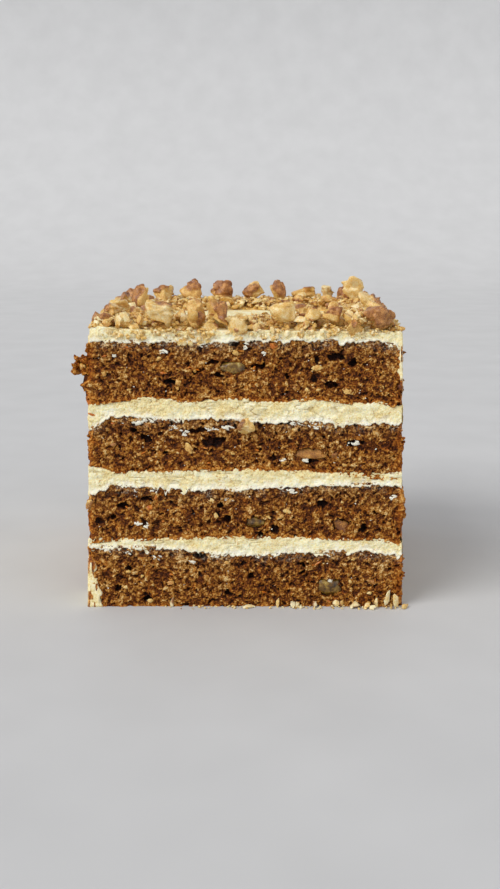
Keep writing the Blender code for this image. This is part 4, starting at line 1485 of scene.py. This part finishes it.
# x from the middle, height, half width, half height, number of lumps, crust
EDGES = [(-73.6, 105.5, 1.2, 2.0, 9, 1.0), (-72.4, 100.5, 1.2, 3.0, 10, 1.0),
         (-72.0, 122, 0.5, 4.5, 7, 1.0), (-71.6, 114, 0.8, 3, 8, 1.0),
         (-72.5, 79, 0.5, 7, 8, 0.9), (-73.4, 48, 0.5, 7, 8, 0.8),
         (71.9, 120, 0.4, 2.6, 3, 0.3), (72.3, 106, 0.4, 5, 4, 0.5),
         (73.2, 78, 0.5, 7, 8, 0.9), (74.0, 48, 0.5, 7, 8, 1.0),
         (74.6, 16, 0.4, 9, 8, 0.9)]  # fmt: skip
x, z, rng = scatter([row[:5] for row in EDGES], 72)
crust = np.concatenate([np.full(count, share) for *_, count, share in EDGES])
crust = crust * rng.uniform(0.6, 1.0, len(x))
halves = rng.uniform(0.7, 1.9, (len(x), 1)) * rng.uniform(0.45, 1.0, (len(x), 3))
places = on_face(x, z, 0.0) + np.stack([0 * x, rng.uniform(0.3, 3.5, len(x)), 0 * x], axis=1)
crumb_lumps("edge_crumbs", places, halves, 73, crust, coarse=0.2)

# x from the middle, distance from the cut, half width, half height
FOOT = [(-35.1, 0.8, 0.9, 2.4), (1.4, 2.2, 2.6, 0.9), (15.3, 1.0, 1.2, 2.2),
        (22.7, 2.4, 1.4, 2.0), (24.4, 1.0, 1.5, 1.6), (33.0, 1.4, 1.6, 1.5),
        (42.6, 1.2, 1.6, 1.9), (45.8, 1.2, 1.0, 1.6), (52.0, 1.8, 3.3, 1.7),
        (50.4, 3.2, 1.2, 0.8), (57.9, 2.2, 2.4, 1.5), (62.4, 1.6, 1.8, 2.4),
        (66.8, 2.2, 2.0, 4.0), (71.4, 2.4, 1.9, 3.6), (69.0, 4.2, 1.6, 1.2),
        (75.4, 2.2, 2.0, 1.1), (60.2, 4.0, 1.6, 1.0)]  # fmt: skip
LOOSE = 70  # smaller crumbs that are not listed
x, far, wide, tall = np.array(FOOT).T
rng = np.random.default_rng(80)
more_x, more_far = rng.uniform(-40, 76, LOOSE), rng.uniform(0.3, 4.5, LOOSE)
size = rng.uniform(0.3, 0.9, LOOSE)
places = np.concatenate([
    np.stack([x + MIDDLE, FRONT - far, tall * 0.9], axis=1),
    np.stack([more_x + MIDDLE, FRONT - more_far, size * 0.7], axis=1),
])  # fmt: skip
halves = np.concatenate([
    np.stack([wide, wide * 0.7, tall], axis=1),
    size[:, None] * [[1.0, 0.8, 0.7]],
])  # fmt: skip
nut_bits(
    "foot_crumbs", places, halves, COARSE, 81, 0.12, "walnut_flesh",
    pale=(0.6, 1.3), tilt=0.25, coarse=0.13,
)  # fmt: skip

# %% [markdown]
# ## Stage, light and camera
#
# The floor runs up behind the cake in one curve, so no line crosses the background. Daylight from a
# large window on the left gives the crumb its small shadows, a weak light on the right keeps the
# holes readable, and the sky colour fills in the rest.

# %% Floor
# All in metres: half the floor's width, where it starts to bend up, the bend's radius, the wall.
STAGE, BEND_AT, BEND, WALL = 12.0, 2.0, 1.0, 6.0


def make_floor():
    """A sheet whose profile is a straight floor, a quarter circle and a straight wall."""
    bend = np.linspace(0, math.pi / 2, 24)
    y = np.concatenate([[-STAGE], BEND_AT + BEND * np.sin(bend), [BEND_AT + BEND]])
    z = np.concatenate([[0.0], BEND - BEND * np.cos(bend), [WALL]])
    count = len(y)
    points = np.stack([np.repeat([-STAGE, STAGE], count), np.tile(y, 2), np.tile(z, 2)], axis=1)
    near = np.arange(count - 1)
    faces = np.stack([near, near + count, near + count + 1, near + 1], axis=1)
    look, tree, shader = new_material("pale_floor", Roughness=0.75)
    tone = ramp(tree, grain(tree, 60.0, 2.0), (0.3, 197, 197, 197), (0.7, 202, 202, 202))
    feed(tree, shader, {"Base Color": tone})
    floor = add_mesh("floor", points / MM, faces.tolist())
    floor.data.materials.append(look)
    floor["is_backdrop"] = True
    return floor


floor = make_floor()
print("floor", floor.dimensions[:])

# %% [markdown]
# A light is aimed by turning its own Z axis towards the side that it comes from. The camera looks
# slightly down at the cut, from about half a metre in front of it, with a normal lens.

# %% Lights and camera


def soft_light(name, place, width, strength, colour):
    """Even light from a wide window far away in the direction of place, width in degrees."""
    lamp = bpy.data.lights.new(name, "SUN")
    lamp.angle = math.radians(width)
    lamp.energy = strength
    lamp.color = colour
    made = bpy.data.objects.new(name, lamp)
    made.location = place
    made.rotation_euler = mathutils.Vector(place).to_track_quat("Z", "Y").to_euler()
    bpy.context.scene.collection.objects.link(made)
    return made


soft_light("window", (-1.62, -1.26, 1.73), 40.0, 1.96, (1.0, 0.99, 0.97))
soft_light("fill", (1.98, -1.62, 0.83), 45.0, 0.3, (1.0, 1.0, 1.0))
world = bpy.data.worlds.new("daylight")
world.use_nodes = True
sky = world.node_tree.nodes["Background"]
sky.inputs["Color"].default_value = (0.94, 0.955, 1.0, 1.0)
sky.inputs["Strength"].default_value = 0.57
bpy.context.scene.world = world
bpy.context.scene.view_settings.view_transform = "Standard"

EYE = (2.1, -497.8, 184.2)  # from the middle of the cut's foot, in millimetres
EYE_TILT = 78.07  # degrees up from straight down
lens = bpy.data.cameras.new("camera")
lens.lens = 44.5
lens.sensor_width = 36.0
lens.clip_start = 0.01
camera = bpy.data.objects.new("camera", lens)
camera.location = ((MIDDLE + EYE[0]) * MM, (FRONT + EYE[1]) * MM, EYE[2] * MM)
camera.rotation_euler = (math.radians(EYE_TILT), 0.0, 0.0)
bpy.context.scene.collection.objects.link(camera)
bpy.context.scene.camera = camera
print("camera at", [round(value, 3) for value in camera.location])

# %% Sizes and finish
boxes = {"cad": cad_box, "visual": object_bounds()}
boxes = {key: [[float(value) for value in corner] for corner in box] for key, box in boxes.items()}
for key, (near, far) in boxes.items():
    print(key, [round((b - a) / MM, 1) for a, b in zip(near, far)], "mm")
